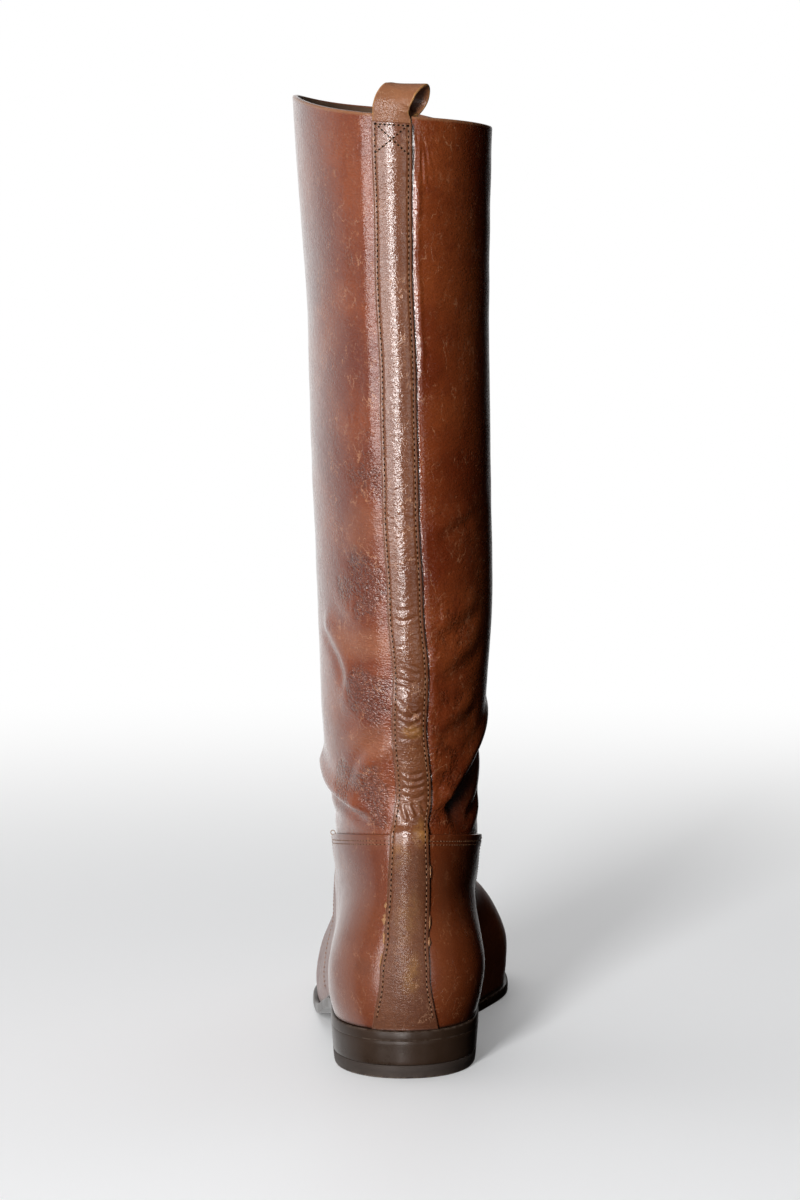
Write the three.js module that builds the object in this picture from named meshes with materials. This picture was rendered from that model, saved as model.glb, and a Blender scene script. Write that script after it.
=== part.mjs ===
// A tall, flat-heeled leather riding boot for the left foot, standing empty on its sole.
// Millimetres. +X is the medial side, +Y points to the toe and +Z is up.
// The origin is on the floor, in the middle of the heel's ground face.
import * as THREE from "three";

// Sizes of the foot: the feather outline is where the upper meets the sole.
const LAST_LENGTH = 254;
const BALL_WIDTH = 86;
const HEEL_WIDTH = 58.6;
const TOE_INSET = 6;
const RIDGE_INSET = 5;

// Sizes of the bottom.
const OUTSOLE_THICKNESS = 4.5;
const OUTSOLE_MARGIN = 3.1;
const OUTSOLE_EDGE_BEVEL = 0.6;
const HEEL_STACK_HEIGHT = 10.6;
const HEEL_STACK_TAPER = 0.8;
const HEEL_LENGTH = 62;
const TOP_LIFT_THICKNESS = 6;
const TOP_LIFT_TAPER = 0.5;
const TOP_LIFT_BEVEL = 0.7;
const TOE_SPRING = 9;
const INSOLE_THICKNESS = 3;
const INSOLE_CLEARANCE = 1.6;

// Sizes of the leg, measured from the floor on its outer surface.
const SEAM_BACK_HEIGHT = 105;
const SEAM_FRONT_HEIGHT = 87;
const ANKLE_WIDTH = 62;
const ANKLE_DEPTH = 114.5;
const COLLAR_HEIGHT = 412;
const COLLAR_WIDTH = 86.2;
const COLLAR_DEPTH = 138;
const COLLAR_LATERAL_RISE = 7;
const COLLAR_MEDIAL_DROP = 6.5;
const SHAFT_LEAN = 5.9;

// Leather thicknesses and the gap between pieces that touch.
const GAP = 0.3;
const SHAFT_WALL = 2.3;
const VAMP_RAISE = 1.2;
const QUARTER_STEP = 0.8;
const UPPER_LINING = 0.9;
const LAP_SHARE = 0.6;
const SIDE_SEAM_DEG = { foot: 75, ankle: 88 };
const STRIP_THICKNESS = 1.2;
const LOOP_THICKNESS = 1.4;

// The back strip and the pull loop.
const STRIP_TOP_WIDTH = 15.4;
const STRIP_FOOT_WIDTH = 25.5;
const STRIP_TOP_DROP = 3;
const STRIP_RAMP = 5;
const LOOP_WIDTH = 15.4;
const LOOP_LEG = 14;
const LOOP_RISE = 12.2;
const LOOP_DEPTH = 13;
const LOOP_SIDE_SHIFT = 8;
const LOOP_YAW_DEG = 20;

// How finely the curved pieces are faceted.
const AROUND = 48;
const ROWS_PER_FOOT_SECTION = 2;
const ROWS_PER_SHAFT_SECTION = 2;
const SEAM_COLUMN_WIDTH = 0.004;
const LOOP_ROWS = 13;

const HEEL_RISE = HEEL_STACK_HEIGHT + TOP_LIFT_THICKNESS;
const SEAT_HEIGHT = HEEL_RISE + OUTSOLE_THICKNESS;
const TOE_HEIGHT = TOE_SPRING + OUTSOLE_THICKNESS;

// Where the sole leaves the heel, touches the floor under the ball and lifts again to the toe.
const SOLE_STATIONS = { ballStart: 0.59, ballEnd: 0.745 };

// Rows of numbers under named columns.
function table(columns, ...rows) {
  return rows.map((row) => Object.fromEntries(columns.map((name, i) => [name, row[i]])));
}

// Half-widths of the feather outline every 30 degrees from heel to toe. Each is the radius that an
// ellipse would need there, as a share of the heel width (heelEnd to seat) or ball width (waist to toeEnd).
const OUTLINE = {
  columns: ["heelEnd", "heel", "seat", "waist", "ball", "toe", "toeEnd"],
  lateral: [0.99, 0.83, 0.605, 0.465, 0.592, 0.61, 0.65],
  medial: [0.99, 0.825, 0.555, 0.28, 0.51, 0.63, 0.65],
};
const HEEL_COLUMNS = 3;

// Sections of the foot, from the feather line up to the ankle seam. back and front are where the
// section ends, as shares of the last length. backRise and frontRise go from 0 at the feather to 1 at
// the seam. follow is how far the section sags with the sole. heel and ball widen the feather outline,
// oval blends it into the ankle's oval, taper narrows the oval at its front, and ridge moves the middle
// of the foot to the medial side.
const FOOT_SECTIONS = table(
  ["back", "front", "backRise", "frontRise", "follow", "heel", "ball", "oval", "taper", "ridge"],
  [0, 1, 0, 0, 1, 1, 1, 0, 1, 0],
  [-0.008, 1.01, 0.12, 0.125, 1, 1.09, 1.02, 0, 1, 0.1],
  [-0.011, 1.002, 0.26, 0.28, 0.95, 1.13, 1, 0.02, 1, 0.35],
  [-0.009, 0.957, 0.4, 0.43, 0.8, 1.1, 0.92, 0.18, 0.93, 0.4],
  [-0.001, 0.874, 0.525, 0.535, 0.6, 1.06, 0.92, 0.5, 0.84, 0.2],
  [0.008, 0.756, 0.65, 0.63, 0.4, 1, 0.93, 0.83, 0.79, 0],
  [0.016, 0.63, 0.775, 0.735, 0.2, 1, 1, 1, 0.78, 0],
  [0.022, 0.539, 0.89, 0.865, 0.05, 1, 1, 1, 0.88, 0],
);

// Sections of the leg, from the ankle seam up to the collar. backRise and frontRise go from 0 at the
// seam to 1 at the collar. width and depth go from 0 at the ankle's size to 1 at the collar's size.
// back is the set-back of the section's heel side as a share of the collar depth, and lean is its
// sideways shift as a share of the collar's.
const SHAFT_SECTIONS = table(
  ["backRise", "frontRise", "width", "depth", "back", "lean"],
  [0, 0, 0, 0, 0.047, -0.05],
  [0.03, 0.04, 0.02, -0.32, 0.047, 0.03],
  [0.062, 0.087, 0.11, -0.41, 0.038, 0.1],
  [0.105, 0.139, 0.27, -0.34, 0.014, 0.16],
  [0.157, 0.198, 0.38, -0.19, -0.014, 0.15],
  [0.216, 0.257, 0.46, -0.1, -0.029, 0.1],
  [0.292, 0.331, 0.55, 0.06, -0.051, 0.05],
  [0.377, 0.412, 0.6, 0.27, -0.072, 0.12],
  [0.482, 0.511, 0.64, 0.5, -0.089, 0.3],
  [0.603, 0.625, 0.67, 0.71, -0.096, 0.42],
  [0.734, 0.749, 0.71, 0.87, -0.098, 0.6],
  [0.869, 0.876, 0.85, 0.98, -0.098, 0.85],
  [1, 1, 1, 1, -0.094, 1],
);

// The back strip, from the feather line up. rise is a share of the collar height, shift is how far its
// middle strays sideways as a share of its top width, and width goes from 0 at the top's to 1 at the foot's.
const STRIP_COURSE = table(
  ["rise", "shift", "width"],
  [0.05, 0.05, 1],
  [0.11, 0.05, 0.42],
  [0.15, 0.09, 0.12],
  [0.2, 0.13, -0.05],
  [0.25, 0.14, -0.12],
  [0.3, 0.27, -0.12],
  [0.37, 0.16, -0.12],
  [0.42, 0.2, -0.1],
  [0.5, 0.06, -0.08],
  [0.6, -0.06, -0.06],
  [0.72, -0.12, -0.05],
  [0.85, -0.25, -0.03],
  [1, -0.3, 0],
);

// The free part of the pull loop, from the outer leg over the top to the inner leg. shift is a share of
// the loop's side shift, in of its depth and up of its rise. yaw is a share of its twist.
const LOOP_COURSE = table(
  ["shift", "in", "up", "yaw"],
  [-0.04, -0.05, 0.2, 0],
  [0.12, -0.05, 0.52, 0.25],
  [0.5, 0.06, 0.84, 0.6],
  [0.9, 0.34, 1, 0.9],
  [1.06, 0.68, 0.92, 1],
  [0.98, 0.94, 0.62, 0.9],
  [0.66, 0.95, 0.3, 0.5],
  [0.25, 0.76, 0.08, 0],
);

const FOOT_ROWS = FOOT_SECTIONS.length;
const SEAM_T = FOOT_ROWS;
const COLLAR_T = FOOT_ROWS + SHAFT_SECTIONS.length - 1;
const LAP_T = SEAM_T - LAP_SHARE;

const mix = THREE.MathUtils.lerp;
const smooth = (x) => THREE.MathUtils.smoothstep(x, 0, 1);

// A Catmull-Rom curve through evenly spaced values, level at both ends.
function throughValues(values, position) {
  const last = values.length - 1;
  const at = Math.min(Math.max(position, 0), last - 1e-9);
  const i = Math.floor(at);
  const f = at - i;
  const slope = (k) => (k <= 0 || k >= last ? 0 : (values[k + 1] - values[k - 1]) / 2);
  const h = f * f * (3 - 2 * f);
  return (
    mix(values[i], values[i + 1], h) +
    f * (1 - f) * (1 - f) * slope(i) -
    f * f * (1 - f) * slope(i + 1)
  );
}

// The value of a table's column at a given place along its key column, on straight lines between rows.
function fromTable(rows, key, column, place) {
  const upper = rows.findIndex((row) => row[key] >= place);
  if (upper === 0) return rows[0][column];
  if (upper < 0) return rows[rows.length - 1][column];
  const [a, b] = [rows[upper - 1], rows[upper]];
  return mix(a[column], b[column], smooth((place - a[key]) / (b[key] - a[key])));
}

// Height of the sole's underside at a distance from the heel's back.
function soleBottom(y) {
  const ballStart = SOLE_STATIONS.ballStart * LAST_LENGTH;
  const ballEnd = SOLE_STATIONS.ballEnd * LAST_LENGTH;
  if (y <= HEEL_LENGTH) return HEEL_RISE;
  if (y < ballStart) return HEEL_RISE * (1 - smooth((y - HEEL_LENGTH) / (ballStart - HEEL_LENGTH)));
  if (y <= ballEnd) return 0;
  return TOE_SPRING * ((y - ballEnd) / (LAST_LENGTH - ballEnd)) ** 2;
}

const soleTop = (y) => soleBottom(y) + OUTSOLE_THICKNESS;

// Half-width radius of the feather outline at an angle from the heel (0) to the toe (pi).
function outlineRadius(angle, side) {
  const shares = side < 0 ? OUTLINE.lateral : OUTLINE.medial;
  const sizes = shares.map((share, i) => share * (i < HEEL_COLUMNS ? HEEL_WIDTH : BALL_WIDTH));
  return throughValues(sizes, (angle / Math.PI) * (shares.length - 1));
}

// How far along its section a point lies: 0 at the heel side and 1 at the front.
const along = (angle) => (1 - Math.cos(angle)) / 2;

function footPoint(section, angle, side) {
  const a = along(angle);
  const back = section.back * LAST_LENGTH;
  const front = section.front * LAST_LENGTH;
  const y = mix(back, front, a);
  const backZ = mix(SEAT_HEIGHT, SEAM_BACK_HEIGHT, section.backRise);
  const frontZ = mix(TOE_HEIGHT, SEAM_FRONT_HEIGHT, section.frontRise);
  const sag = soleTop(y) - mix(soleTop(back), soleTop(front), a);
  const swell = mix(section.heel, section.ball, smooth(a * 1.6));
  const oval = (ANKLE_WIDTH / 2) * mix(1, section.taper, a * a);
  const radius = mix(outlineRadius(angle, side) * swell, oval, section.oval);
  const inset = TOE_INSET * a * a * (1 - section.oval) + RIDGE_INSET * section.ridge * 4 * a * (1 - a);
  return new THREE.Vector3(
    inset + side * Math.sin(angle) * radius,
    y,
    mix(backZ, frontZ, a) + section.follow * sag + GAP,
  );
}

function shaftPoint(section, angle, side) {
  const a = along(angle);
  const depth = mix(ANKLE_DEPTH, COLLAR_DEPTH, section.depth);
  const halfWidth = mix(ANKLE_WIDTH, COLLAR_WIDTH, section.width) / 2;
  const sideways = side * Math.sin(angle) * halfWidth;
  const backZ = mix(SEAM_BACK_HEIGHT, COLLAR_HEIGHT, section.backRise);
  const frontZ = mix(SEAM_FRONT_HEIGHT, COLLAR_HEIGHT, section.frontRise);
  const lateralTilt = COLLAR_LATERAL_RISE * mix(Math.sin(angle), Math.sin(angle) ** 4, 0.5);
  const medialTilt = -COLLAR_MEDIAL_DROP * Math.sin(angle) * mix(0.45, 1.55, a);
  const tilt = (side < 0 ? lateralTilt : medialTilt) * smooth(section.backRise);
  return new THREE.Vector3(
    sideways - SHAFT_LEAN * section.lean,
    section.back * COLLAR_DEPTH + depth * a,
    mix(backZ, frontZ, a) + tilt,
  );
}

// A point of section number k, with u from -pi (front, lateral half) over 0 (heel) to pi.
function sectionPoint(k, u) {
  const side = u < 0 ? -1 : 1;
  if (k < FOOT_ROWS) return footPoint(FOOT_SECTIONS[k], Math.abs(u), side);
  return shaftPoint(SHAFT_SECTIONS[k - FOOT_ROWS], Math.abs(u), side);
}

// The boot's reference surface: the shaft's outer face, and the foot's below the ankle seam.
function surfacePoint(u, t) {
  const k = Math.min(Math.floor(Math.max(t, 0)), COLLAR_T - 1);
  const f = t - k;
  const p1 = sectionPoint(k, u);
  const p2 = sectionPoint(k + 1, u);
  const p0 = k > 0 ? sectionPoint(k - 1, u) : p1.clone().multiplyScalar(2).sub(p2);
  const p3 = k + 2 <= COLLAR_T ? sectionPoint(k + 2, u) : p2.clone().multiplyScalar(2).sub(p1);
  const m1 = p2.clone().sub(p0).multiplyScalar(0.5);
  const m2 = p3.clone().sub(p1).multiplyScalar(0.5);
  return p1
    .clone()
    .multiplyScalar(2 * f ** 3 - 3 * f ** 2 + 1)
    .addScaledVector(m1, f ** 3 - 2 * f ** 2 + f)
    .addScaledVector(p2, 3 * f ** 2 - 2 * f ** 3)
    .addScaledVector(m2, f ** 3 - f ** 2);
}

// The reference surface moved outwards by an offset. Its lowest row stays on the sole.
function offsetPoint(u, t, offset) {
  const step = 0.02;
  const t0 = Math.max(t - step, 0);
  const t1 = Math.min(t + step, COLLAR_T);
  const acrossStep = surfacePoint(u + step, t).sub(surfacePoint(u - step, t));
  const upStep = surfacePoint(u, t1).sub(surfacePoint(u, t0));
  const normal = acrossStep.cross(upStep).normalize();
  normal.z *= smooth(t * 2);
  const point = surfacePoint(u, t).addScaledVector(normal.normalize(), offset);
  if (t === 0) point.z = soleTop(point.y) + GAP;
  return point;
}

// The angle near the heel's middle at which a row of the surface has a given x.
function angleAtX(x, t) {
  let low = -Math.PI / 3;
  let high = Math.PI / 3;
  for (let i = 0; i < 30; i += 1) {
    const middle = (low + high) / 2;
    if (surfacePoint(middle, t).x < x) low = middle;
    else high = middle;
  }
  return (low + high) / 2;
}

// A closed mesh from numbered vertices and faces, turned to face outwards.
function solidGeometry(vertices, faces) {
  const triangles = faces.flatMap((face) =>
    face.length === 4 ? [[face[0], face[1], face[2]], [face[0], face[2], face[3]]] : [face],
  );
  const volume = triangles.reduce((sum, [a, b, c]) => {
    const cross = new THREE.Vector3().crossVectors(vertices[b], vertices[c]);
    return sum + vertices[a].dot(cross);
  }, 0);
  const facing = volume > 0 ? triangles : triangles.map(([a, b, c]) => [a, c, b]);
  const geometry = new THREE.BufferGeometry();
  geometry.setAttribute(
    "position",
    new THREE.Float32BufferAttribute(vertices.flatMap((v) => [v.x, v.y, v.z]), 3),
  );
  geometry.setIndex(facing.flat());
  return geometry;
}

// A wall between two grids of the same size. A grid is closed round its columns, or has four edges.
function wallGeometry(outer, inner, closed) {
  const rows = outer.length;
  const columns = outer[0].length;
  const vertices = [...outer.flat(), ...inner.flat()];
  const out = (r, c) => r * columns + (c % columns);
  const back = (r, c) => rows * columns + out(r, c);
  const faces = [];
  const spans = closed ? columns : columns - 1;
  for (let c = 0; c < spans; c += 1) {
    for (let r = 0; r < rows - 1; r += 1) {
      faces.push([out(r, c), out(r, c + 1), out(r + 1, c + 1), out(r + 1, c)]);
      faces.push([back(r, c), back(r + 1, c), back(r + 1, c + 1), back(r, c + 1)]);
    }
    faces.push([out(0, c + 1), out(0, c), back(0, c), back(0, c + 1)]);
    faces.push([out(rows - 1, c), out(rows - 1, c + 1), back(rows - 1, c + 1), back(rows - 1, c)]);
  }
  if (!closed) {
    const end = columns - 1;
    for (let r = 0; r < rows - 1; r += 1) {
      faces.push([out(r, 0), out(r + 1, 0), back(r + 1, 0), back(r, 0)]);
      faces.push([out(r, end), back(r, end), back(r + 1, end), out(r + 1, end)]);
    }
  }
  return solidGeometry(vertices, faces);
}

// A solid through stacked loops. Each loop runs heel, lateral side, toe, medial side, and its ends are
// closed by rungs from side to side, so that a curved end face stays a ruled surface.
function stackGeometry(loops) {
  const count = loops[0].length;
  const vertices = loops.flat();
  const faces = [];
  for (let k = 0; k < loops.length - 1; k += 1) {
    for (let i = 0; i < count; i += 1) {
      const j = (i + 1) % count;
      faces.push([k * count + i, k * count + j, (k + 1) * count + j, (k + 1) * count + i]);
    }
  }
  const rung = (i, base, flip) => {
    const [a, b, c, d] = [i, i + 1, count - i - 1, (count - i) % count].map((n) => n + base);
    const face = a === d ? [a, b, c] : b === c ? [a, b, d] : [a, b, c, d];
    faces.push(flip ? face.reverse() : face);
  };
  for (let i = 0; i < Math.floor(count / 2); i += 1) {
    rung(i, 0, true);
    rung(i, (loops.length - 1) * count, false);
  }
  return solidGeometry(vertices, faces);
}

const range = (count, from, to) => Array.from({ length: count + 1 }, (_, i) => mix(from, to, i / count));

// Columns round the upper as shares of a half turn from the heel, negative on the lateral side. The
// side seam is at half of each, where a narrow pair lets the quarter step down to the vamp.
function aroundColumns() {
  const even = range(AROUND, -1, 1).slice(0, -1);
  const clear = even.filter((share) => Math.abs(Math.abs(share) - 0.5) > SEAM_COLUMN_WIDTH * 3);
  const steps = [-1, 1].flatMap((side) => [
    side * (0.5 - SEAM_COLUMN_WIDTH),
    side * (0.5 + SEAM_COLUMN_WIDTH),
  ]);
  return [...clear, ...steps].sort((a, b) => a - b);
}

// The angle of a column on a row, drawn so that the side seam slants forwards from ankle to sole.
function columnAngle(share, t) {
  const seam = THREE.MathUtils.degToRad(mix(SIDE_SEAM_DEG.foot, SIDE_SEAM_DEG.ankle, t / SEAM_T));
  const size = Math.abs(share);
  const angle = size < 0.5 ? seam * size * 2 : mix(seam, Math.PI, size * 2 - 1);
  return Math.sign(share) * angle;
}

const grid = (rows, columns, offset) => rows.map((t) => columns.map((u) => offsetPoint(u, t, offset(u, t))));

// The foot of the upper: one wall, open at the ankle and underneath. Its quarter is a step higher than
// its vamp, and its top edge thins to lap over the shaft.
function upperGeometry() {
  const below = range(FOOT_ROWS * ROWS_PER_FOOT_SECTION - 2, 0, LAP_T - 0.2);
  const rows = [...below, LAP_T - 0.06, LAP_T - 0.03, mix(LAP_T, SEAM_T, 0.5), SEAM_T];
  const columns = aroundColumns();
  const face = (offset) =>
    rows.map((t) => columns.map((share) => offsetPoint(columnAngle(share, t), t, offset(share, t))));
  const outside = (share) => VAMP_RAISE + (Math.abs(share) < 0.5 ? QUARTER_STEP : 0);
  const inside = (share, t) => (t > LAP_T - 0.045 ? GAP : -UPPER_LINING);
  return wallGeometry(face(outside), face(inside), true);
}

// The rows of the shaft above the lap, shared by the back strip.
const shaftRows = range((COLLAR_T - SEAM_T) * ROWS_PER_SHAFT_SECTION, SEAM_T, COLLAR_T);

// The shaft: one tube from inside the ankle lap up to the collar.
function shaftGeometry() {
  const rows = [LAP_T, mix(LAP_T, SEAM_T, 0.5), ...shaftRows];
  const columns = range(AROUND, -Math.PI, Math.PI).slice(0, -1);
  return wallGeometry(grid(rows, columns, () => 0), grid(rows, columns, () => -SHAFT_WALL), true);
}

// Row number at which the heel's middle line reaches a height.
function rowAtHeight(z) {
  let low = 0;
  let high = COLLAR_T;
  for (let i = 0; i < 30; i += 1) {
    const middle = (low + high) / 2;
    if (surfacePoint(0, middle).z < z) low = middle;
    else high = middle;
  }
  return (low + high) / 2;
}

const stripMiddle = (z) => STRIP_TOP_WIDTH * fromTable(STRIP_COURSE, "rise", "shift", z / COLLAR_HEIGHT);
const stripWidth = (z) =>
  mix(STRIP_TOP_WIDTH, STRIP_FOOT_WIDTH, fromTable(STRIP_COURSE, "rise", "width", z / COLLAR_HEIGHT));

// How far the strip stands off the surface: over the quarter, then the shaft, then the loop's leg.
function stripStandOff(z) {
  const overQuarter = VAMP_RAISE + QUARTER_STEP;
  const overLoop = LOOP_THICKNESS + GAP;
  const legFoot = COLLAR_HEIGHT - LOOP_LEG;
  const quarterShare = 1 - smooth((z - SEAM_BACK_HEIGHT - GAP) / STRIP_RAMP);
  const loopShare = smooth((z - legFoot + STRIP_RAMP) / (STRIP_RAMP - 1));
  return GAP + overQuarter * quarterShare + overLoop * loopShare;
}

function stripRow(t, offset) {
  const z = surfacePoint(0, t).z;
  const middle = stripMiddle(z);
  const half = stripWidth(z) / 2;
  return range(6, middle - half, middle + half).map((x) => offsetPoint(angleAtX(x, t), t, offset(z)));
}

// The back strip: one band over the back seam, from the sole to just below the collar.
function stripGeometry() {
  const legFoot = COLLAR_HEIGHT - LOOP_LEG;
  const foot = range(FOOT_ROWS * ROWS_PER_FOOT_SECTION, 0, SEAM_T);
  const ramps = [
    rowAtHeight(SEAM_BACK_HEIGHT + STRIP_RAMP / 2),
    rowAtHeight(SEAM_BACK_HEIGHT + STRIP_RAMP),
    rowAtHeight(legFoot - STRIP_RAMP),
    rowAtHeight(legFoot - STRIP_RAMP / 2),
    rowAtHeight(legFoot - 1),
    rowAtHeight(COLLAR_HEIGHT - STRIP_TOP_DROP),
  ];
  const top = ramps[ramps.length - 1];
  const rows = [...foot, ...shaftRows.slice(1).filter((t) => t < top - 0.05), ...ramps].sort((a, b) => a - b);
  const outer = rows.map((t) => stripRow(t, (z) => stripStandOff(z) + STRIP_THICKNESS));
  const inner = rows.map((t) => stripRow(t, stripStandOff));
  return wallGeometry(outer, inner, false);
}

// One row of the loop's leg, lying against the shaft.
function loopLegRow(z, offset) {
  const t = rowAtHeight(z);
  const middle = stripMiddle(z);
  return range(4, middle - LOOP_WIDTH / 2, middle + LOOP_WIDTH / 2).map((x) =>
    offsetPoint(angleAtX(x, t), t, offset),
  );
}

// The pull loop: a strap whose outer leg lies under the back strip. It leans to the medial side and
// comes back down inside the collar.
function loopGeometry() {
  const legHeights = [COLLAR_HEIGHT - LOOP_LEG, COLLAR_HEIGHT - LOOP_LEG / 2, COLLAR_HEIGHT - 1.5];
  const outerFace = GAP + LOOP_THICKNESS;
  const innerFace = -SHAFT_WALL - GAP;
  const collarBack = surfacePoint(angleAtX(stripMiddle(COLLAR_HEIGHT), COLLAR_T), COLLAR_T);
  const start = collarBack.clone().setY(collarBack.y - GAP - LOOP_THICKNESS / 2);
  const course = range(LOOP_ROWS, 0, LOOP_COURSE.length - 1).map((place) => {
    const value = (column) => throughValues(LOOP_COURSE.map((row) => row[column]), place);
    return { shift: value("shift"), in: value("in"), up: value("up"), yaw: value("yaw") };
  });
  const centres = course.map(
    (row) =>
      new THREE.Vector3(
        start.x + LOOP_SIDE_SHIFT * row.shift,
        start.y + LOOP_DEPTH * row.in,
        start.z + LOOP_RISE * row.up,
      ),
  );
  const free = course.map((row, i) => {
    const before = centres[Math.max(i - 1, 0)];
    const after = centres[Math.min(i + 1, centres.length - 1)];
    const heading = after.clone().sub(before).normalize();
    const yaw = THREE.MathUtils.degToRad(LOOP_YAW_DEG) * row.yaw;
    const across = new THREE.Vector3(Math.cos(yaw), -Math.sin(yaw), 0);
    across.addScaledVector(heading, -across.dot(heading)).normalize();
    const out = across.clone().cross(heading).normalize();
    const face = (lift) =>
      range(4, -LOOP_WIDTH / 2, LOOP_WIDTH / 2).map((x) =>
        centres[i].clone().addScaledVector(across, x).addScaledVector(out, lift),
      );
    return { outer: face(LOOP_THICKNESS / 2), inner: face(-LOOP_THICKNESS / 2) };
  });
  const outer = [
    ...legHeights.map((z) => loopLegRow(z, outerFace)),
    ...free.map((row) => row.outer),
    ...[...legHeights].reverse().map((z) => loopLegRow(z, innerFace - LOOP_THICKNESS)),
  ];
  const inner = [
    ...legHeights.map((z) => loopLegRow(z, GAP)),
    ...free.map((row) => row.inner),
    ...[...legHeights].reverse().map((z) => loopLegRow(z, innerFace)),
  ];
  return wallGeometry(outer, inner, false);
}

// The feather outline in plan, moved outwards by a margin, at heights given by a function of y.
function planLoop(margin, height, count = 64) {
  const plan = range(count, 0, 2 * Math.PI).slice(0, -1).map((turn) => {
    const u = turn <= Math.PI ? -turn : 2 * Math.PI - turn;
    const point = footPoint(FOOT_SECTIONS[0], Math.abs(u), u < 0 ? -1 : 1);
    return new THREE.Vector2(point.x, point.y);
  });
  return plan.map((point, i) => {
    const before = plan[(i + count - 1) % count];
    const after = plan[(i + 1) % count];
    const heading = after.clone().sub(before).normalize();
    const x = point.x - heading.y * margin;
    const y = point.y + heading.x * margin;
    return new THREE.Vector3(x, y, height(y));
  });
}

// The heel part of the outsole's outline, drawn in by a taper and cut straight at the breast.
function heelLoop(taper, z) {
  const whole = planLoop(OUTSOLE_MARGIN - taper, () => z, 96);
  const half = whole.length / 2;
  const breast = HEEL_LENGTH - taper;
  const lateral = whole.slice(0, half).filter((point) => point.y < breast - 1);
  const medial = whole.slice(half).filter((point) => point.y < breast - 1);
  const corner = (inside, outside) => {
    const share = (breast - inside.y) / (outside.y - inside.y);
    return inside.clone().lerp(outside, share);
  };
  const lateralCorner = corner(lateral[lateral.length - 1], whole[lateral.length]);
  const medialCorner = corner(medial[0], whole[whole.length - medial.length - 1]);
  return [...lateral, lateralCorner, medialCorner, ...medial];
}

function outsoleGeometry() {
  const edge = OUTSOLE_MARGIN;
  const drawnIn = edge - OUTSOLE_EDGE_BEVEL;
  return stackGeometry([
    planLoop(drawnIn, soleBottom),
    planLoop(edge, (y) => soleBottom(y) + OUTSOLE_EDGE_BEVEL),
    planLoop(edge, (y) => soleTop(y) - OUTSOLE_EDGE_BEVEL),
    planLoop(drawnIn, soleTop),
  ]);
}

function heelStackGeometry() {
  const bottom = TOP_LIFT_THICKNESS + GAP / 2;
  const top = HEEL_RISE - GAP / 2;
  return stackGeometry([heelLoop(HEEL_STACK_TAPER, bottom), heelLoop(0, top)]);
}

function topLiftGeometry() {
  const full = HEEL_STACK_TAPER + TOP_LIFT_TAPER;
  return stackGeometry([
    heelLoop(full + TOP_LIFT_BEVEL, 0),
    heelLoop(full, TOP_LIFT_BEVEL),
    heelLoop(HEEL_STACK_TAPER, TOP_LIFT_THICKNESS - GAP / 2),
  ]);
}

function insoleGeometry() {
  const inset = -UPPER_LINING - INSOLE_CLEARANCE;
  return stackGeometry([
    planLoop(inset, (y) => soleTop(y) + GAP),
    planLoop(inset, (y) => soleTop(y) + GAP + INSOLE_THICKNESS),
  ]);
}

const leather = { color: 0x7a3d22, roughness: 0.32, metalness: 0 };
const edgedSole = { color: 0x3a2a22, roughness: 0.4, metalness: 0 };
const rubber = { color: 0x3b302c, roughness: 0.7, metalness: 0 };
const lining = { color: 0x8a6a4c, roughness: 0.8, metalness: 0 };

const PIECES = [
  { name: "upper", geometry: upperGeometry(), finish: leather },
  { name: "shaft", geometry: shaftGeometry(), finish: leather },
  { name: "back_strip", geometry: stripGeometry(), finish: leather },
  { name: "pull_loop", geometry: loopGeometry(), finish: leather },
  { name: "insole", geometry: insoleGeometry(), finish: lining },
  { name: "outsole", geometry: outsoleGeometry(), finish: edgedSole },
  { name: "heel_stack", geometry: heelStackGeometry(), finish: edgedSole },
  { name: "top_lift", geometry: topLiftGeometry(), finish: rubber },
];

// The drawing's y starts at the heel's back, so the boot is moved to put the heel's middle at the origin.
const boot = new THREE.Group();
for (const { name, geometry, finish } of PIECES) {
  const mesh = new THREE.Mesh(geometry, new THREE.MeshStandardMaterial(finish));
  mesh.name = name;
  mesh.position.y = -HEEL_LENGTH / 2;
  boot.add(mesh);
}

export default boot;
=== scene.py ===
"""Looks of a tall, flat-heeled leather riding boot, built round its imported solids.

Lengths are in millimetres until a mesh is made. +X is medial, +Y points to the toe and +Z is up.
Angles u run round the boot: 0 at the heel, negative on the lateral side, 180 degrees at the front.
"""
import math
import bpy
import numpy as np
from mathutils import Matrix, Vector


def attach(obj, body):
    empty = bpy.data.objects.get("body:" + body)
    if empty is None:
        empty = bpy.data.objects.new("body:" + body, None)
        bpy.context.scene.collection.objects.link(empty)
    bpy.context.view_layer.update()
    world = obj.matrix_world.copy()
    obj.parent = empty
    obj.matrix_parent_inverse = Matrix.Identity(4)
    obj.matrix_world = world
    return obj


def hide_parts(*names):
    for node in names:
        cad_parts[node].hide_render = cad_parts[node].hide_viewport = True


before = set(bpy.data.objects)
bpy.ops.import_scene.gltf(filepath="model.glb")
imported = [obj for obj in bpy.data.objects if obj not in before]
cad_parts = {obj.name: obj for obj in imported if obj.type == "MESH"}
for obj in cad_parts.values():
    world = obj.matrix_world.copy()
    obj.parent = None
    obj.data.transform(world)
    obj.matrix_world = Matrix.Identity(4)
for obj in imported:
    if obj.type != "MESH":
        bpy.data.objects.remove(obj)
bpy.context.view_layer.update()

# The boot's form: the same sizes and tables as the solids.
LAST_LENGTH, BALL_WIDTH, HEEL_WIDTH = 254, 86, 58.6
TOE_INSET, RIDGE_INSET = 6, 5
OUTSOLE_THICKNESS, OUTSOLE_MARGIN = 4.5, 3.1
HEEL_STACK_HEIGHT, HEEL_STACK_TAPER, HEEL_LENGTH = 10.6, 0.8, 62
TOP_LIFT_THICKNESS, TOP_LIFT_TAPER = 6, 0.5
TOE_SPRING = 9
SEAM_BACK_HEIGHT, SEAM_FRONT_HEIGHT = 105, 87
ANKLE_WIDTH, ANKLE_DEPTH = 62, 114.5
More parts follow.
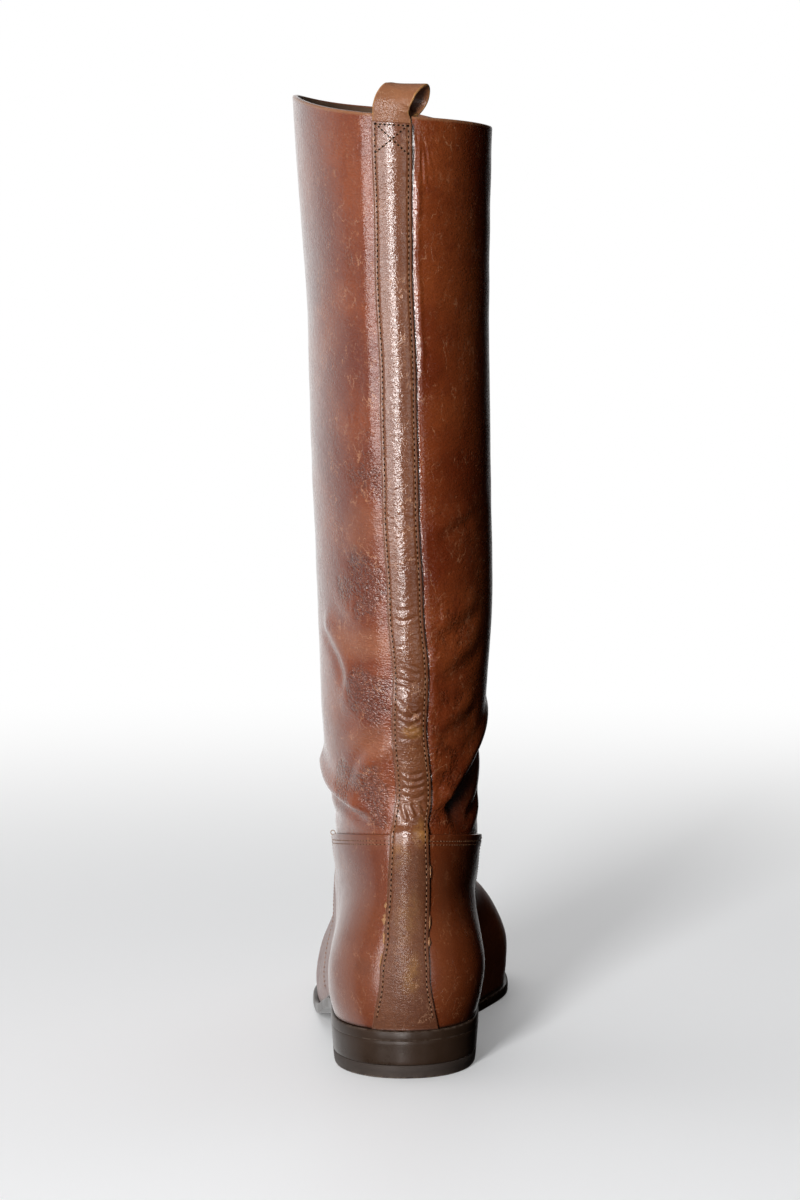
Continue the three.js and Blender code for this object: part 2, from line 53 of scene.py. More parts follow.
COLLAR_HEIGHT, COLLAR_WIDTH, COLLAR_DEPTH = 412, 86.2, 138
COLLAR_LATERAL_RISE, COLLAR_MEDIAL_DROP, SHAFT_LEAN = 7, 6.5, 5.9
GAP, SHAFT_WALL, VAMP_RAISE, QUARTER_STEP, UPPER_LINING = 0.3, 2.3, 1.2, 0.8, 0.9
LAP_SHARE = 0.6
SIDE_SEAM_FOOT, SIDE_SEAM_ANKLE = math.radians(75), math.radians(88)
STRIP_THICKNESS, STRIP_TOP_WIDTH, STRIP_FOOT_WIDTH = 1.2, 15.4, 25.5
STRIP_TOP_DROP, STRIP_RAMP = 3, 5
LOOP_THICKNESS, LOOP_WIDTH, LOOP_LEG, LOOP_RISE = 1.4, 15.4, 14, 12.2
LOOP_DEPTH, LOOP_SIDE_SHIFT, LOOP_YAW = 13, 8, math.radians(20)
HEEL_RISE = HEEL_STACK_HEIGHT + TOP_LIFT_THICKNESS
SEAT_HEIGHT = HEEL_RISE + OUTSOLE_THICKNESS
TOE_HEIGHT = TOE_SPRING + OUTSOLE_THICKNESS
BALL_START, BALL_END = 0.59 * LAST_LENGTH, 0.745 * LAST_LENGTH
OUTLINE_LATERAL = [0.99, 0.83, 0.605, 0.465, 0.592, 0.61, 0.65]
OUTLINE_MEDIAL = [0.99, 0.825, 0.555, 0.28, 0.51, 0.63, 0.65]


def table(columns, *rows):
    return {name: np.array([row[i] for row in rows], float) for i, name in enumerate(columns)}


FOOT = table(
    ("back", "front", "back_rise", "front_rise", "follow", "heel", "ball", "oval", "taper", "ridge"),
    (0, 1, 0, 0, 1, 1, 1, 0, 1, 0),
    (-0.008, 1.01, 0.12, 0.125, 1, 1.09, 1.02, 0, 1, 0.1),
    (-0.011, 1.002, 0.26, 0.28, 0.95, 1.13, 1, 0.02, 1, 0.35),
    (-0.009, 0.957, 0.4, 0.43, 0.8, 1.1, 0.92, 0.18, 0.93, 0.4),
    (-0.001, 0.874, 0.525, 0.535, 0.6, 1.06, 0.92, 0.5, 0.84, 0.2),
    (0.008, 0.756, 0.65, 0.63, 0.4, 1, 0.93, 0.83, 0.79, 0),
    (0.016, 0.63, 0.775, 0.735, 0.2, 1, 1, 1, 0.78, 0),
    (0.022, 0.539, 0.89, 0.865, 0.05, 1, 1, 1, 0.88, 0),
)
SHAFT = table(
    ("back_rise", "front_rise", "width", "depth", "back", "lean"),
    (0, 0, 0, 0, 0.047, -0.05),
    (0.03, 0.04, 0.02, -0.32, 0.047, 0.03),
    (0.062, 0.087, 0.11, -0.41, 0.038, 0.1),
    (0.105, 0.139, 0.27, -0.34, 0.014, 0.16),
    (0.157, 0.198, 0.38, -0.19, -0.014, 0.15),
    (0.216, 0.257, 0.46, -0.1, -0.029, 0.1),
    (0.292, 0.331, 0.55, 0.06, -0.051, 0.05),
    (0.377, 0.412, 0.6, 0.27, -0.072, 0.12),
    (0.482, 0.511, 0.64, 0.5, -0.089, 0.3),
    (0.603, 0.625, 0.67, 0.71, -0.096, 0.42),
    (0.734, 0.749, 0.71, 0.87, -0.098, 0.6),
    (0.869, 0.876, 0.85, 0.98, -0.098, 0.85),
    (1, 1, 1, 1, -0.094, 1),
)
STRIP = table(
    ("rise", "shift", "width"),
    (0.05, 0.05, 1),
    (0.11, 0.05, 0.42),
    (0.15, 0.09, 0.12),
    (0.2, 0.13, -0.05),
    (0.25, 0.14, -0.12),
    (0.3, 0.27, -0.12),
    (0.37, 0.16, -0.12),
    (0.42, 0.2, -0.1),
    (0.5, 0.06, -0.08),
    (0.6, -0.06, -0.06),
    (0.72, -0.12, -0.05),
    (0.85, -0.25, -0.03),
    (1, -0.3, 0),
)
LOOP = table(
    ("shift", "in", "up", "yaw"),
    (-0.04, -0.05, 0.2, 0),
    (0.12, -0.05, 0.52, 0.25),
    (0.5, 0.06, 0.84, 0.6),
    (0.9, 0.34, 1, 0.9),
    (1.06, 0.68, 0.92, 1),
    (0.98, 0.94, 0.62, 0.9),
    (0.66, 0.95, 0.3, 0.5),
    (0.25, 0.76, 0.08, 0),
)
FOOT_ROWS = len(FOOT["back"])
SEAM_T = FOOT_ROWS
COLLAR_T = FOOT_ROWS + len(SHAFT["width"]) - 1
LAP_T = SEAM_T - LAP_SHARE


def mix(a, b, f):
    return a + (b - a) * f


def smooth(x):
    x = np.clip(x, 0, 1)
    return x * x * (3 - 2 * x)


def unit(vectors):
    return vectors / np.linalg.norm(vectors, axis=-1, keepdims=True)


def bell(distance, width):
    """1 at distance 0, falling away softly over the width."""
    return np.exp(-((distance / width) ** 2))


def through_values(values, position):
    """A Catmull-Rom curve through evenly spaced values, level at both ends."""
    values = np.asarray(values, float)
    last = len(values) - 1
    at = np.clip(position, 0, last - 1e-9)
    i = np.floor(at).astype(int)
    f = at - i
    slope = np.zeros(last + 1)
    slope[1:-1] = (values[2:] - values[:-2]) / 2
    flat = mix(values[i], values[i + 1], f * f * (3 - 2 * f))
    return flat + f * (1 - f) ** 2 * slope[i] - f * f * (1 - f) * slope[i + 1]


def from_table(rows, key, column, place):
    i = np.clip(np.searchsorted(rows[key], place), 1, len(rows[key]) - 1)
    a, b = rows[key][i - 1], rows[key][i]
    return mix(rows[column][i - 1], rows[column][i], smooth((place - a) / (b - a)))


def sole_bottom(y):
    arch = HEEL_RISE * (1 - smooth((y - HEEL_LENGTH) / (BALL_START - HEEL_LENGTH)))
    toe = TOE_SPRING * (np.clip(y - BALL_END, 0, None) / (LAST_LENGTH - BALL_END)) ** 2
    return arch + toe


def sole_top(y):
    return sole_bottom(y) + OUTSOLE_THICKNESS


def outline_radius(angle, side):
    sizes = [BALL_WIDTH if i > 2 else HEEL_WIDTH for i in range(7)]
    place = angle / math.pi * 6
    lateral = through_values(np.array(OUTLINE_LATERAL) * sizes, place)
    medial = through_values(np.array(OUTLINE_MEDIAL) * sizes, place)
    return np.where(side < 0, lateral, medial)


def sections(u):
    """Points of every section at angles u, with the drawing's y, which starts at the heel's back."""
    side = np.where(u < 0, -1.0, 1.0)
    angle = np.abs(u)
    a = (1 - np.cos(angle)) / 2
    sin = np.sin(angle)
    outline = outline_radius(angle, side)
    swell_place = smooth(a * 1.6)
    out = np.empty((COLLAR_T + 1,) + u.shape + (3,))
    for k in range(FOOT_ROWS):
        row = {name: column[k] for name, column in FOOT.items()}
        back, front = row["back"] * LAST_LENGTH, row["front"] * LAST_LENGTH
        y = mix(back, front, a)
        back_z = mix(SEAT_HEIGHT, SEAM_BACK_HEIGHT, row["back_rise"])
        front_z = mix(TOE_HEIGHT, SEAM_FRONT_HEIGHT, row["front_rise"])
        sag = sole_top(y) - mix(sole_top(back), sole_top(front), a)
        oval = ANKLE_WIDTH / 2 * mix(1, row["taper"], a * a)
        radius = mix(outline * mix(row["heel"], row["ball"], swell_place), oval, row["oval"])
        inset = TOE_INSET * a * a * (1 - row["oval"]) + RIDGE_INSET * row["ridge"] * 4 * a * (1 - a)
        out[k, ..., 0] = inset + side * sin * radius
        out[k, ..., 1] = y
        out[k, ..., 2] = mix(back_z, front_z, a) + row["follow"] * sag + GAP
    lateral_tilt = COLLAR_LATERAL_RISE * mix(sin, sin ** 4, 0.5)
    medial_tilt = -COLLAR_MEDIAL_DROP * sin * mix(0.45, 1.55, a)
    for k in range(len(SHAFT["width"])):
        row = {name: column[k] for name, column in SHAFT.items()}
        half_width = mix(ANKLE_WIDTH, COLLAR_WIDTH, row["width"]) / 2
        back_z = mix(SEAM_BACK_HEIGHT, COLLAR_HEIGHT, row["back_rise"])
        front_z = mix(SEAM_FRONT_HEIGHT, COLLAR_HEIGHT, row["front_rise"])
        tilt = np.where(side < 0, lateral_tilt, medial_tilt) * smooth(row["back_rise"])
        out[FOOT_ROWS + k, ..., 0] = side * sin * half_width - SHAFT_LEAN * row["lean"]
        out[FOOT_ROWS + k, ..., 1] = (
            row["back"] * COLLAR_DEPTH + mix(ANKLE_DEPTH, COLLAR_DEPTH, row["depth"]) * a
        )
        out[FOOT_ROWS + k, ..., 2] = mix(back_z, front_z, a) + tilt
    return out


def surface(u, t):
    """The reference surface: the shaft's outer face, and the foot's below the ankle seam."""
    u, t = np.broadcast_arrays(np.asarray(u, float), np.asarray(t, float))
    loops = sections(u)
    k = np.clip(np.floor(t).astype(int), 0, COLLAR_T - 1)
    f = (t - k)[..., None]

    def pick(i):
        return np.take_along_axis(loops, np.clip(i, 0, COLLAR_T)[None, ..., None], 0)[0]

    p1, p2 = pick(k), pick(k + 1)
    p0 = np.where((k > 0)[..., None], pick(k - 1), 2 * p1 - p2)
    p3 = np.where((k + 2 <= COLLAR_T)[..., None], pick(k + 2), 2 * p2 - p1)
    return (
        p1 * (2 * f ** 3 - 3 * f ** 2 + 1)
        + (p2 - p0) / 2 * (f ** 3 - 2 * f ** 2 + f)
        + p2 * (3 * f ** 2 - 2 * f ** 3)
        + (p3 - p1) / 2 * (f ** 3 - f ** 2)
    )


def surface_and_normal(u, t):
    u, t = np.broadcast_arrays(np.asarray(u, float), np.asarray(t, float))
    step = 0.02
    across = surface(u + step, t) - surface(u - step, t)
    up = surface(u, np.minimum(t + step, COLLAR_T)) - surface(u, np.maximum(t - step, 0))
    normal = unit(np.cross(across, up))
    normal[..., 2] *= smooth(t * 2)
    return surface(u, t), unit(normal)


def halved(low, high, is_below):
    """Places between low and high at which is_below(place) turns from true to false."""
    for _ in range(22):
        middle = (low + high) / 2
        below = is_below(middle)
        low, high = np.where(below, middle, low), np.where(below, high, middle)
    return (low + high) / 2


def row_at_height(u, z):
    """Row numbers at which the surface reaches heights z at angles u."""
    u, z = np.broadcast_arrays(np.asarray(u, float), np.asarray(z, float))
    return halved(np.zeros(u.shape), np.full(u.shape, float(COLLAR_T)), lambda t: surface(u, t)[..., 2] < z)


def heel_row(z):
    """Row numbers at heights z on the heel's middle line."""
    return row_at_height(0.0, z)


def angle_at_x(x, t):
    """Angles near the heel's middle at which rows t of the surface have x."""
    x, t = np.broadcast_arrays(np.asarray(x, float), np.asarray(t, float))
    widest = np.full(x.shape, math.pi / 3)
    return halved(-widest, widest, lambda u: surface(u, t)[..., 0] < x)


def strip_middle(z):
    return STRIP_TOP_WIDTH * from_table(STRIP, "rise", "shift", np.asarray(z) / COLLAR_HEIGHT)


def strip_half(z):
    share = from_table(STRIP, "rise", "width", np.asarray(z) / COLLAR_HEIGHT)
    return mix(STRIP_TOP_WIDTH, STRIP_FOOT_WIDTH, share) / 2


def strip_stand_off(z):
    leg_foot = COLLAR_HEIGHT - LOOP_LEG
    quarter = 1 - smooth((z - SEAM_BACK_HEIGHT - GAP) / STRIP_RAMP)
    loop = smooth((z - leg_foot + 5 * STRIP_RAMP) / (5 * STRIP_RAMP - 1))
    return GAP + (VAMP_RAISE + QUARTER_STEP) * quarter + (LOOP_THICKNESS + GAP) * loop


# The leather laid flat: s is the arc from the heel's middle line, z the height.
FLAT_ROWS, FLAT_TURNS = 160, 360
FLAT_T = np.linspace(0, COLLAR_T, FLAT_ROWS + 1)
FLAT_U = np.linspace(-math.pi, math.pi, FLAT_TURNS + 1)
flat_grid = surface(FLAT_U[None, :], FLAT_T[:, None])
heel_line = flat_grid[:, FLAT_TURNS // 2]
flat_steps = np.linalg.norm(np.diff(flat_grid, axis=1), axis=2)
flat_arc = np.concatenate([np.zeros((FLAT_ROWS + 1, 1)), np.cumsum(flat_steps, axis=1)], axis=1)
flat_arc -= flat_arc[:, FLAT_TURNS // 2, None].copy()


def flat(u, t):
    """Arc and height in mm at angle u on row t."""
    j = np.clip((u + math.pi) / (2 * math.pi) * FLAT_TURNS, 0, FLAT_TURNS - 0.001)
    i = np.clip(t / COLLAR_T * FLAT_ROWS, 0, FLAT_ROWS - 0.001)
    j0, i0 = np.floor(j).astype(int), np.floor(i).astype(int)
    fj, fi = j - j0, i - i0

    def pick(values):
        low = mix(values[i0, j0], values[i0, j0 + 1], fj)
        return mix(low, mix(values[i0 + 1, j0], values[i0 + 1, j0 + 1], fj), fi)

    return pick(flat_arc), pick(flat_grid[..., 2])


def strip_middle_s(z):
    """The strip's middle in the flat leather's s, which starts at the heel's middle line."""
    return strip_middle(z) - np.interp(z, heel_line[:, 2], heel_line[:, 0])


def noise(points, size, seed):
    """Smooth value noise from -1 to 1 at points of any dimension, with lumps of the given size."""
    p = np.asarray(points, float) / size + 100
    cell = np.floor(p).astype(np.int64)
    f = p - cell
    f = f * f * (3 - 2 * f)
    count = p.shape[-1]
    primes = np.array([73856093, 19349663, 83492791][:count], np.int64)
    total = np.zeros(p.shape[:-1])
    for corner in range(2 ** count):
        bits = np.array([(corner >> k) & 1 for k in range(count)])
        key = ((cell + bits) * primes).sum(axis=-1) + seed * 2654435761
        key = (key ^ (key >> 13)) * 1274126177
        key = (key ^ (key >> 16)) & 0xFFFF
        weight = np.prod(np.where(bits == 1, f, 1 - f), axis=-1)
        total += weight * (key / 32767.5 - 1)
    return total


def noise_along(z, lane, size, seed):
    """Noise that changes with z alone, in one lane of a flat noise."""
    return noise(np.stack([z * 0 + lane, z], -1), size, seed)


def curve_through(points, per_span=6):
    """Points on a Catmull-Rom curve through the given points."""
    p = np.asarray(points, float)
    if len(p) < 3:
        return p
    padded = np.vstack([2 * p[0] - p[1], p, 2 * p[-1] - p[-2]])
    f = np.linspace(0, 1, per_span, endpoint=False)[:, None]
    spans = []
    for i in range(len(p) - 1):
        p0, p1, p2, p3 = padded[i:i + 4]
        spans.append(
            0.5 * (2 * p1 + (p2 - p0) * f + (2 * p0 - 5 * p1 + 4 * p2 - p3) * f ** 2
                   + (3 * p1 - p0 - 3 * p2 + p3) * f ** 3)
        )
    return np.vstack(spans + [p[-1:]])


def across_line(s, z, line):
    """Signed distance to a line, positive on its left, and how far along it the nearest point lies."""
    best = np.full(s.shape, 1e9)
    signed = np.zeros(s.shape)
    place = np.zeros(s.shape)
    run = 0.0
    for a, b in zip(line[:-1], line[1:]):
        step = b - a
        length = max(np.hypot(*step), 1e-6)
        f = np.clip(((s - a[0]) * step[0] + (z - a[1]) * step[1]) / length ** 2, 0, 1)
        ds, dz = s - a[0] - f * step[0], z - a[1] - f * step[1]
        distance = np.hypot(ds, dz)
        nearer = distance < best
        best = np.where(nearer, distance, best)
        signed = np.where(nearer, np.where(step[0] * dz - step[1] * ds >= 0, distance, -distance), signed)
        place = np.where(nearer, run + f * length, place)
        run += length
    return signed, place, run


def in_box(s, z, low, high):
    return (s > low[0]) & (s < high[0]) & (z > low[1]) & (z < high[1])


def near_line(s, z, line, reach):
    """Which points lie in the box round a line, widened by reach."""
    return in_box(s, z, line.min(axis=0) - reach, line.max(axis=0) + reach)


# Folds of the leg and foot in the flat leather's mm: points, trough depth, its width, height of the
# lip on the left of the line's direction, the lip's width, and how long the ends fade.
FOLDS = (
    ([(74, 119), (60, 113), (48, 110), (36, 108)], 1.2, 3.0, 0.8, 4, 12),
    ([(-13, 109), (-24, 111), (-36, 114), (-50, 117), (-66, 122), (-84, 130)], 2.8, 2.6, -3.4, 5.0, 14),
    ([(-92, 112), (-76, 108), (-58, 107), (-42, 107)], 0.6, 3, 0.5, 4, 10),
    ([(-56, 192), (-45, 186), (-38, 181), (-32, 173), (-30, 164)], 1.1, 3.4, 1.3, 5, 10),
    ([(-6, 152), (-12, 145), (-19, 140), (-25, 131), (-29, 122)], 0.7, 3.2, 0.8, 4.5, 10),
    ([(-34, 228), (-24, 221), (-12, 217)], 0.4, 4, 0.3, 5, 10),
    ([(-44, 205), (-30, 196), (-16, 193)], 0.4, 5, 0.4, 5, 12),
    ([(-40, 160), (-28, 154), (-14, 152)], 0.4, 5, 0.5, 6, 10),
    ([(14, 231), (22, 234), (34, 238), (46, 238)], 0.6, 3.5, 0.4, 4, 10),
    ([(12, 262), (22, 263), (34, 260)], 0.35, 4, 0.3, 4, 10),
    ([(13, 302), (20, 301), (30, 303)], 0.3, 2.5, 0.2, 3, 8),
    ([(13, 330), (19, 328), (28, 330)], 0.25, 2.5, 0.2, 3, 8),
    ([(12, 192), (20, 191), (34, 196), (48, 199)], 0.7, 4, 0.5, 5, 10),
    ([(12, 172), (22, 172), (36, 178), (52, 182)], 0.8, 4.5, 0.5, 5, 12),
    ([(12, 150), (22, 148), (36, 152), (50, 158)], 0.9, 4.5, 0.7, 5, 12),
    ([(13, 134), (22, 129), (32, 128)], 0.8, 3.5, 0.5, 4, 9),
    ([(14, 126), (20, 119), (26, 114)], 0.5, 2.5, 0.4, 3, 7),
    ([(120, 136), (138, 128), (156, 124), (170, 122)], 3.2, 6, 2.4, 7, 22),
    ([(104, 118), (126, 108), (150, 104), (168, 102)], 2.0, 5, 1.6, 6, 20),
    ([(-170, 122), (-152, 124), (-134, 128), (-112, 134), (-96, 138)], 3.0, 6, -2.4, 7, 22),
    ([(-168, 100), (-146, 103), (-122, 108), (-104, 113)], 1.8, 5, -1.5, 6, 18),
    ([(-150, 176), (-132, 172), (-112, 172)], 0.9, 8, 0.7, 8, 18),
    ([(112, 182), (134, 178), (152, 182)], 0.9, 8, 0.7, 8, 18),
)
# The hollow under the bulge over the medial ankle: its upper edge, depth, reach below the edge.
HOLLOW_EDGE = curve_through(
    [(112, 156), (96, 152), (80, 148), (66, 143), (50, 136), (35, 126.5), (26, 119), (19, 113.5)], 6
)
HOLLOW_DEPTH, HOLLOW_REACH = 5.6, 8.0
HOLLOW_BOX = ((12, 92), (124, 172))
# Where the leather of the leg calms down towards the collar: start, reach and share.
CALM_START, CALM_REACH, CALM_SHARE = 396, 22, 0.6
# Soft bulges: middle s and z, half-widths, height.
BULGES = (
    (1, 163, 7, 7, 0.9),
    (0, 113, 8, 5, 0.7),
    (0, 186, 8, 8, 0.5),
    (15, 181, 4.5, 6, 0.8),
    (15.5, 163, 4, 6, 0.5),
    (16, 143, 4, 7, 0.8),
    (20, 131, 6, 4.5, 0.7),
    (16, 117, 6, 4, 0.7),
    (-22, 166, 12, 8, 0.7),
    (-20, 204, 12, 9, 0.5),
    (-30, 128, 14, 6, 0.8),
)
# Creases of the back strip: points as mm from its middle and height, depth and width.
STRIP_CREASES = (
    ([(-5, 201), (-1.5, 199), (2, 200), (5.5, 202)], 0.2, 0.8),
    ([(-5.5, 205), (-1, 203.5), (4.5, 206)], 0.16, 0.8),
    ([(-5, 180), (0, 177), (5.8, 175.4)], 0.24, 0.9),
    ([(-0.7, 181), (3, 178.3), (6, 174.6)], 0.2, 0.8),
    ([(-6, 174.6), (-2, 173), (3, 171.4)], 0.24, 0.9),
    ([(-6.2, 171.5), (-3, 170.6), (0, 168.6)], 0.24, 0.8),
    ([(-5.8, 166), (-3.4, 163.4), (-2, 160.6)], 0.3, 0.9),
    ([(-5.5, 161), (-0.7, 157.2), (5.6, 160.6)], 0.34, 0.9),
    ([(-5.3, 158), (0.2, 153.6), (5.8, 157)], 0.32, 0.9),
    ([(-4.5, 155), (0.2, 151.2), (5, 153.8)], 0.26, 0.8),
    ([(-5, 149), (-1, 147.6), (4.5, 148.6)], 0.14, 0.8),
    ([(-5, 134.4), (-1, 132), (5.6, 133.4)], 0.26, 0.8),
    ([(-5, 130.6), (0, 128.6), (5.6, 130.8)], 0.28, 0.8),
    ([(-5.5, 127), (-1, 125.4), (5.2, 127.4)], 0.3, 0.8),
    ([(-5, 123.4), (0, 121.2), (5.6, 123.6)], 0.3, 0.8),
    ([(-5.8, 119.5), (-4.4, 114.5), (-2.8, 110)], 0.5, 1.0),
    ([(-3.8, 120), (-1.6, 114.8), (0.2, 110.8)], 0.55, 1.0),
    ([(-1.2, 119.6), (0.8, 116), (2.4, 112.8)], 0.5, 0.9),
    ([(1.8, 119.8), (3.4, 117.4), (4.7, 114.8)], 0.4, 0.8),
    ([(-4, 106.6), (0, 105.4), (5, 106)], 0.16, 0.8),
    ([(-4, 101), (0, 100), (5, 100.8)], 0.1, 0.8),
)
# Zones of fine random creases on the strip: lowest and highest height, how many, slant, depth.
STRIP_ZONES = (
    (300, 400, 60, 0.15, 0.05),
    (262, 302, 60, -0.35, 0.1),
    (236, 262, 34, -0.4, 0.13),
    (212, 236, 22, 0.5, 0.1),
    (182, 212, 30, 0.3, 0.1),
    (150, 182, 34, -0.5, 0.12),
    (120, 140, 26, 0.2, 0.14),
)
# Short random creases in the leg's leather: middle s and z, their spread, how many, slant, depth.
LEG_ZONES = (
    (-14, 212, 12, 10, 46, -0.9, 0.16),
    (-16, 166, 9, 9, 42, 0.4, 0.1),
    (-22, 124, 16, 10, 60, 0.25, 0.1),
    (-18, 262, 16, 24, 44, -0.7, 0.12),
    (16, 392, 5, 12, 16, -2.2, 0.12),
    (-10, 118, 4, 9, 22, -0.3, 0.12),
    (18, 122, 5, 10, 26, 0.6, 0.12),
    (15, 162, 3, 28, 22, 1.2, 0.1),
    (22, 200, 8, 30, 34, 0.5, 0.12),
)


def random_creases(rng, middle, spread, count, slant, depth, length):
    """Short curved creases as (points, depth, width) round a middle."""
    made = []
    for _ in range(count):
        s0, z0 = rng.uniform(-1, 1, 2) * spread + middle
        turn = math.atan(slant) + rng.normal(0, 0.28)
        size = length * rng.uniform(0.5, 1.2)
        ds, dz = math.cos(turn) * size / 2, math.sin(turn) * size / 2
        bow = rng.normal(0, 0.12) * size
        points = [(s0 - ds, z0 - dz), (s0 - bow * math.sin(turn), z0 + bow), (s0 + ds, z0 + dz)]
        made.append((points, 1.5 * depth * rng.uniform(0.4, 1.1), rng.uniform(0.45, 0.75)))
    return made


LEG_CREASE_LENGTH, STRIP_CREASE_LENGTH, STRIP_CREASE_REACH = 6, 3.6, 5.2
rng = np.random.default_rng(7)
leg_creases = [
    ([(12.3, 409), (12.2, 397), (11.8, 386)], 0.3, 0.6),
    ([(14.4, 406), (15.9, 398), (17.6, 388)], 0.22, 0.6),
    ([(17.2, 399), (19.6, 392), (22.2, 385)], 0.2, 0.55),
    ([(19.4, 405), (22, 399), (24.6, 393)], 0.16, 0.5),
    ([(13.6, 398), (14.2, 391), (14.6, 382)], 0.25, 0.6),
    ([(-12.5, 404), (-13.5, 396), (-13, 389)], 0.15, 0.6),
]
for s0, z0, ds, dz, count, slant, depth in LEG_ZONES:
    middle, spread = np.array([s0, z0], float), np.array([ds, dz], float)
    leg_creases += random_creases(rng, middle, spread, count, slant, depth, LEG_CREASE_LENGTH)
strip_creases = list(STRIP_CREASES)
for low, high, count, slant, depth in STRIP_ZONES:
    middle, spread = np.array([0, (low + high) / 2]), np.array([STRIP_CREASE_REACH, (high - low) / 2])
    strip_creases += random_creases(rng, middle, spread, count, slant, depth / 2, STRIP_CREASE_LENGTH)


def add_creases(s, z, creases, total):
    """Adds fine troughs with a small lip on both sides to a relief."""
    for points, depth, width in creases:
        line = curve_through(points, 4)
        near = near_line(s, z, line, width * 3.2)
        if near.any():
            across, place, run = across_line(s[near], z[near], line)
            fade = smooth(np.minimum(place, run - place) / (run * 0.3))
            lips = 0.45 * bell(np.abs(across) - 1.7 * width, width)
            total[near] += depth * fade * (lips - bell(across, width))
    return total


def from_hollow(s, z):
    """Which points are near the medial hollow, and their distance under its edge, place and run on it."""
    near = in_box(s, z, *HOLLOW_BOX)
    return near, *across_line(s[near], z[near], HOLLOW_EDGE)


def leg_relief(s, z):
    """How far the leather of leg and foot stands off its form, in mm."""
    # The broad noise lies on a round like the leg, so that it has no seam at the front.
    turn = s / 55
    place = np.stack([40 * np.sin(turn), 40 * np.cos(turn), z], -1)
    total = 0.35 * noise(place, 30, 3) + 0.16 * noise(place, 12, 4)
    total *= smooth((z - 118) / 30) * 0.8 + 0.2
    near, across, place, run = from_hollow(s, z)
    ends = smooth(place / 26) * smooth((run - place) / 9)
    inside = smooth((across + 1.2) / 2.6) * bell(np.clip(across - 3, 0, None), HOLLOW_REACH)
    total[near] += ends * (1.5 * bell(across + 4.5, 4.5) - HOLLOW_DEPTH * inside)
    for s0, z0, ds, dz, height in BULGES:
        total += height * np.exp(-(((s - s0) / ds) ** 2) - ((z - z0) / dz) ** 2)
    for points, depth, width, lip, lip_width, fade in FOLDS:
        line = curve_through(points, 6)
        near = near_line(s, z, line, abs(lip_width) * 3 + width * 2)
        if near.any():
            across, place, run = across_line(s[near], z[near], line)
            beside = across * (1 if lip > 0 else -1) - width - lip_width * 0.5
            shape = abs(lip) * bell(beside, lip_width) - depth * bell(across, width)
            total[near] += smooth(np.minimum(place, run - place) / fade) * shape
    return total


def calm(t, z):
    """The share of a relief that is left near the sole and the collar."""
    return smooth(t * 1.5) * (1 - smooth((z - CALM_START) / CALM_REACH) * CALM_SHARE)


def seam_relief(s, z):
    """The soft ridges that the seam under the strip raises beside it."""
    middle, half = strip_middle_s(z), strip_half(z)
    left, right = middle - half - s, s - middle - half
    wave = 1 + 0.3 * noise_along(z, 3.0, 15, 9)
    ridge = 0.55 * wave * bell(left - 5.2, 3.6) * (0.3 + 0.7 * smooth((z - 240) / 40))
    bend = 0.5 * noise_along(z, 5.0, 9, 31) + 0.25 * noise_along(z, 7.0, 3.5, 32)
    size = (0.1 + 0.34 * smooth((z - 285) / 22) * smooth((408 - z) / 12)) * (1 + 1.6 * bend)
    ridge += size * bell(right - 3.2 - bend, 1.5) - 0.45 * bell(right - 0.6, 1.3)
    return ridge * smooth((z - 108) / 8)


def grounded(points, t):
    """Points of the foot's lowest row set on the outsole."""
    points[..., 2] = np.where(t <= 0, sole_top(points[..., 1]) + GAP, points[..., 2])
    return points


def leather_point(u, t, offset):
    """Points on the leather at an offset from the form, with its folds, and their s and z."""
    u, t, offset = np.broadcast_arrays(u, t, offset)
    point, normal = surface_and_normal(u, t)
    s, z = flat(u, t)
    lift = add_creases(s, z, leg_creases, leg_relief(s, z)) + seam_relief(s, z)
    return grounded(point + normal * (offset + lift * calm(t, z))[..., None], t), s, z


# Mesh making.
def loop_faces(rows, columns, close_rows, close_columns, first=0):
    """Quads of a grid of numbered points."""
    number = np.arange(rows * columns).reshape(rows, columns) + first
    if close_rows:
        number = np.vstack([number, number[:1]])
    if close_columns:
        number = np.hstack([number, number[:, :1]])
    a, b, c, d = number[:-1, :-1], number[:-1, 1:], number[1:, 1:], number[1:, :-1]
    return np.stack([a, b, c, d], -1).reshape(-1, 4)


def tube_faces(rows, columns, first=0, turned=False):
    """Faces of a tube of numbered points with both ends shut."""
    last = first + (rows - 1) * columns
    ends = [list(range(start, start + columns)) for start in (first, last)]
    ends[0 if turned else 1].reverse()
    return loop_faces(rows, columns, False, True, first).tolist() + ends


def add_piece(name, points, faces, materials, slot, stands_for=(), marks=None, face_material=None):
    """Makes a smooth-shaded mesh piece from points in drawing mm and rides it on the boot."""
    placed = np.asarray(points, float).reshape(-1, 3) - (0, HEEL_LENGTH / 2, 0)
    mesh = bpy.data.meshes.new(name)
    mesh.from_pydata((placed * 0.001).tolist(), [], [list(map(int, face)) for face in faces])
    mesh.validate()
    mesh.polygons.foreach_set("use_smooth", np.ones(len(mesh.polygons), bool))
    for key, values in (marks or {}).items():
        layer = mesh.attributes.new(key, "FLOAT", "POINT")
        layer.data.foreach_set("value", np.asarray(values, np.float32).ravel())
    for material in materials:
        mesh.materials.append(material)
    if face_material is not None:
        mesh.polygons.foreach_set("material_index", np.asarray(face_material, np.int32))
    mesh.update()
    piece = bpy.data.objects.new(name, mesh)
    bpy.context.scene.collection.objects.link(piece)
    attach(piece, "root")
    if stands_for:
        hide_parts(*stands_for)


def add_wall(name, points, outside, node, marks, lining_row):
    """A closed wall of leather whose rows from lining_row on are its lining."""
    row_of_face = np.repeat(np.arange(points.shape[0]), points.shape[1])
    add_piece(
        name, points, loop_faces(*points.shape[:2], True, True), [outside, lining_leather], "oiled_leather",
        [node], marks, (row_of_face >= lining_row).astype(int),
    )


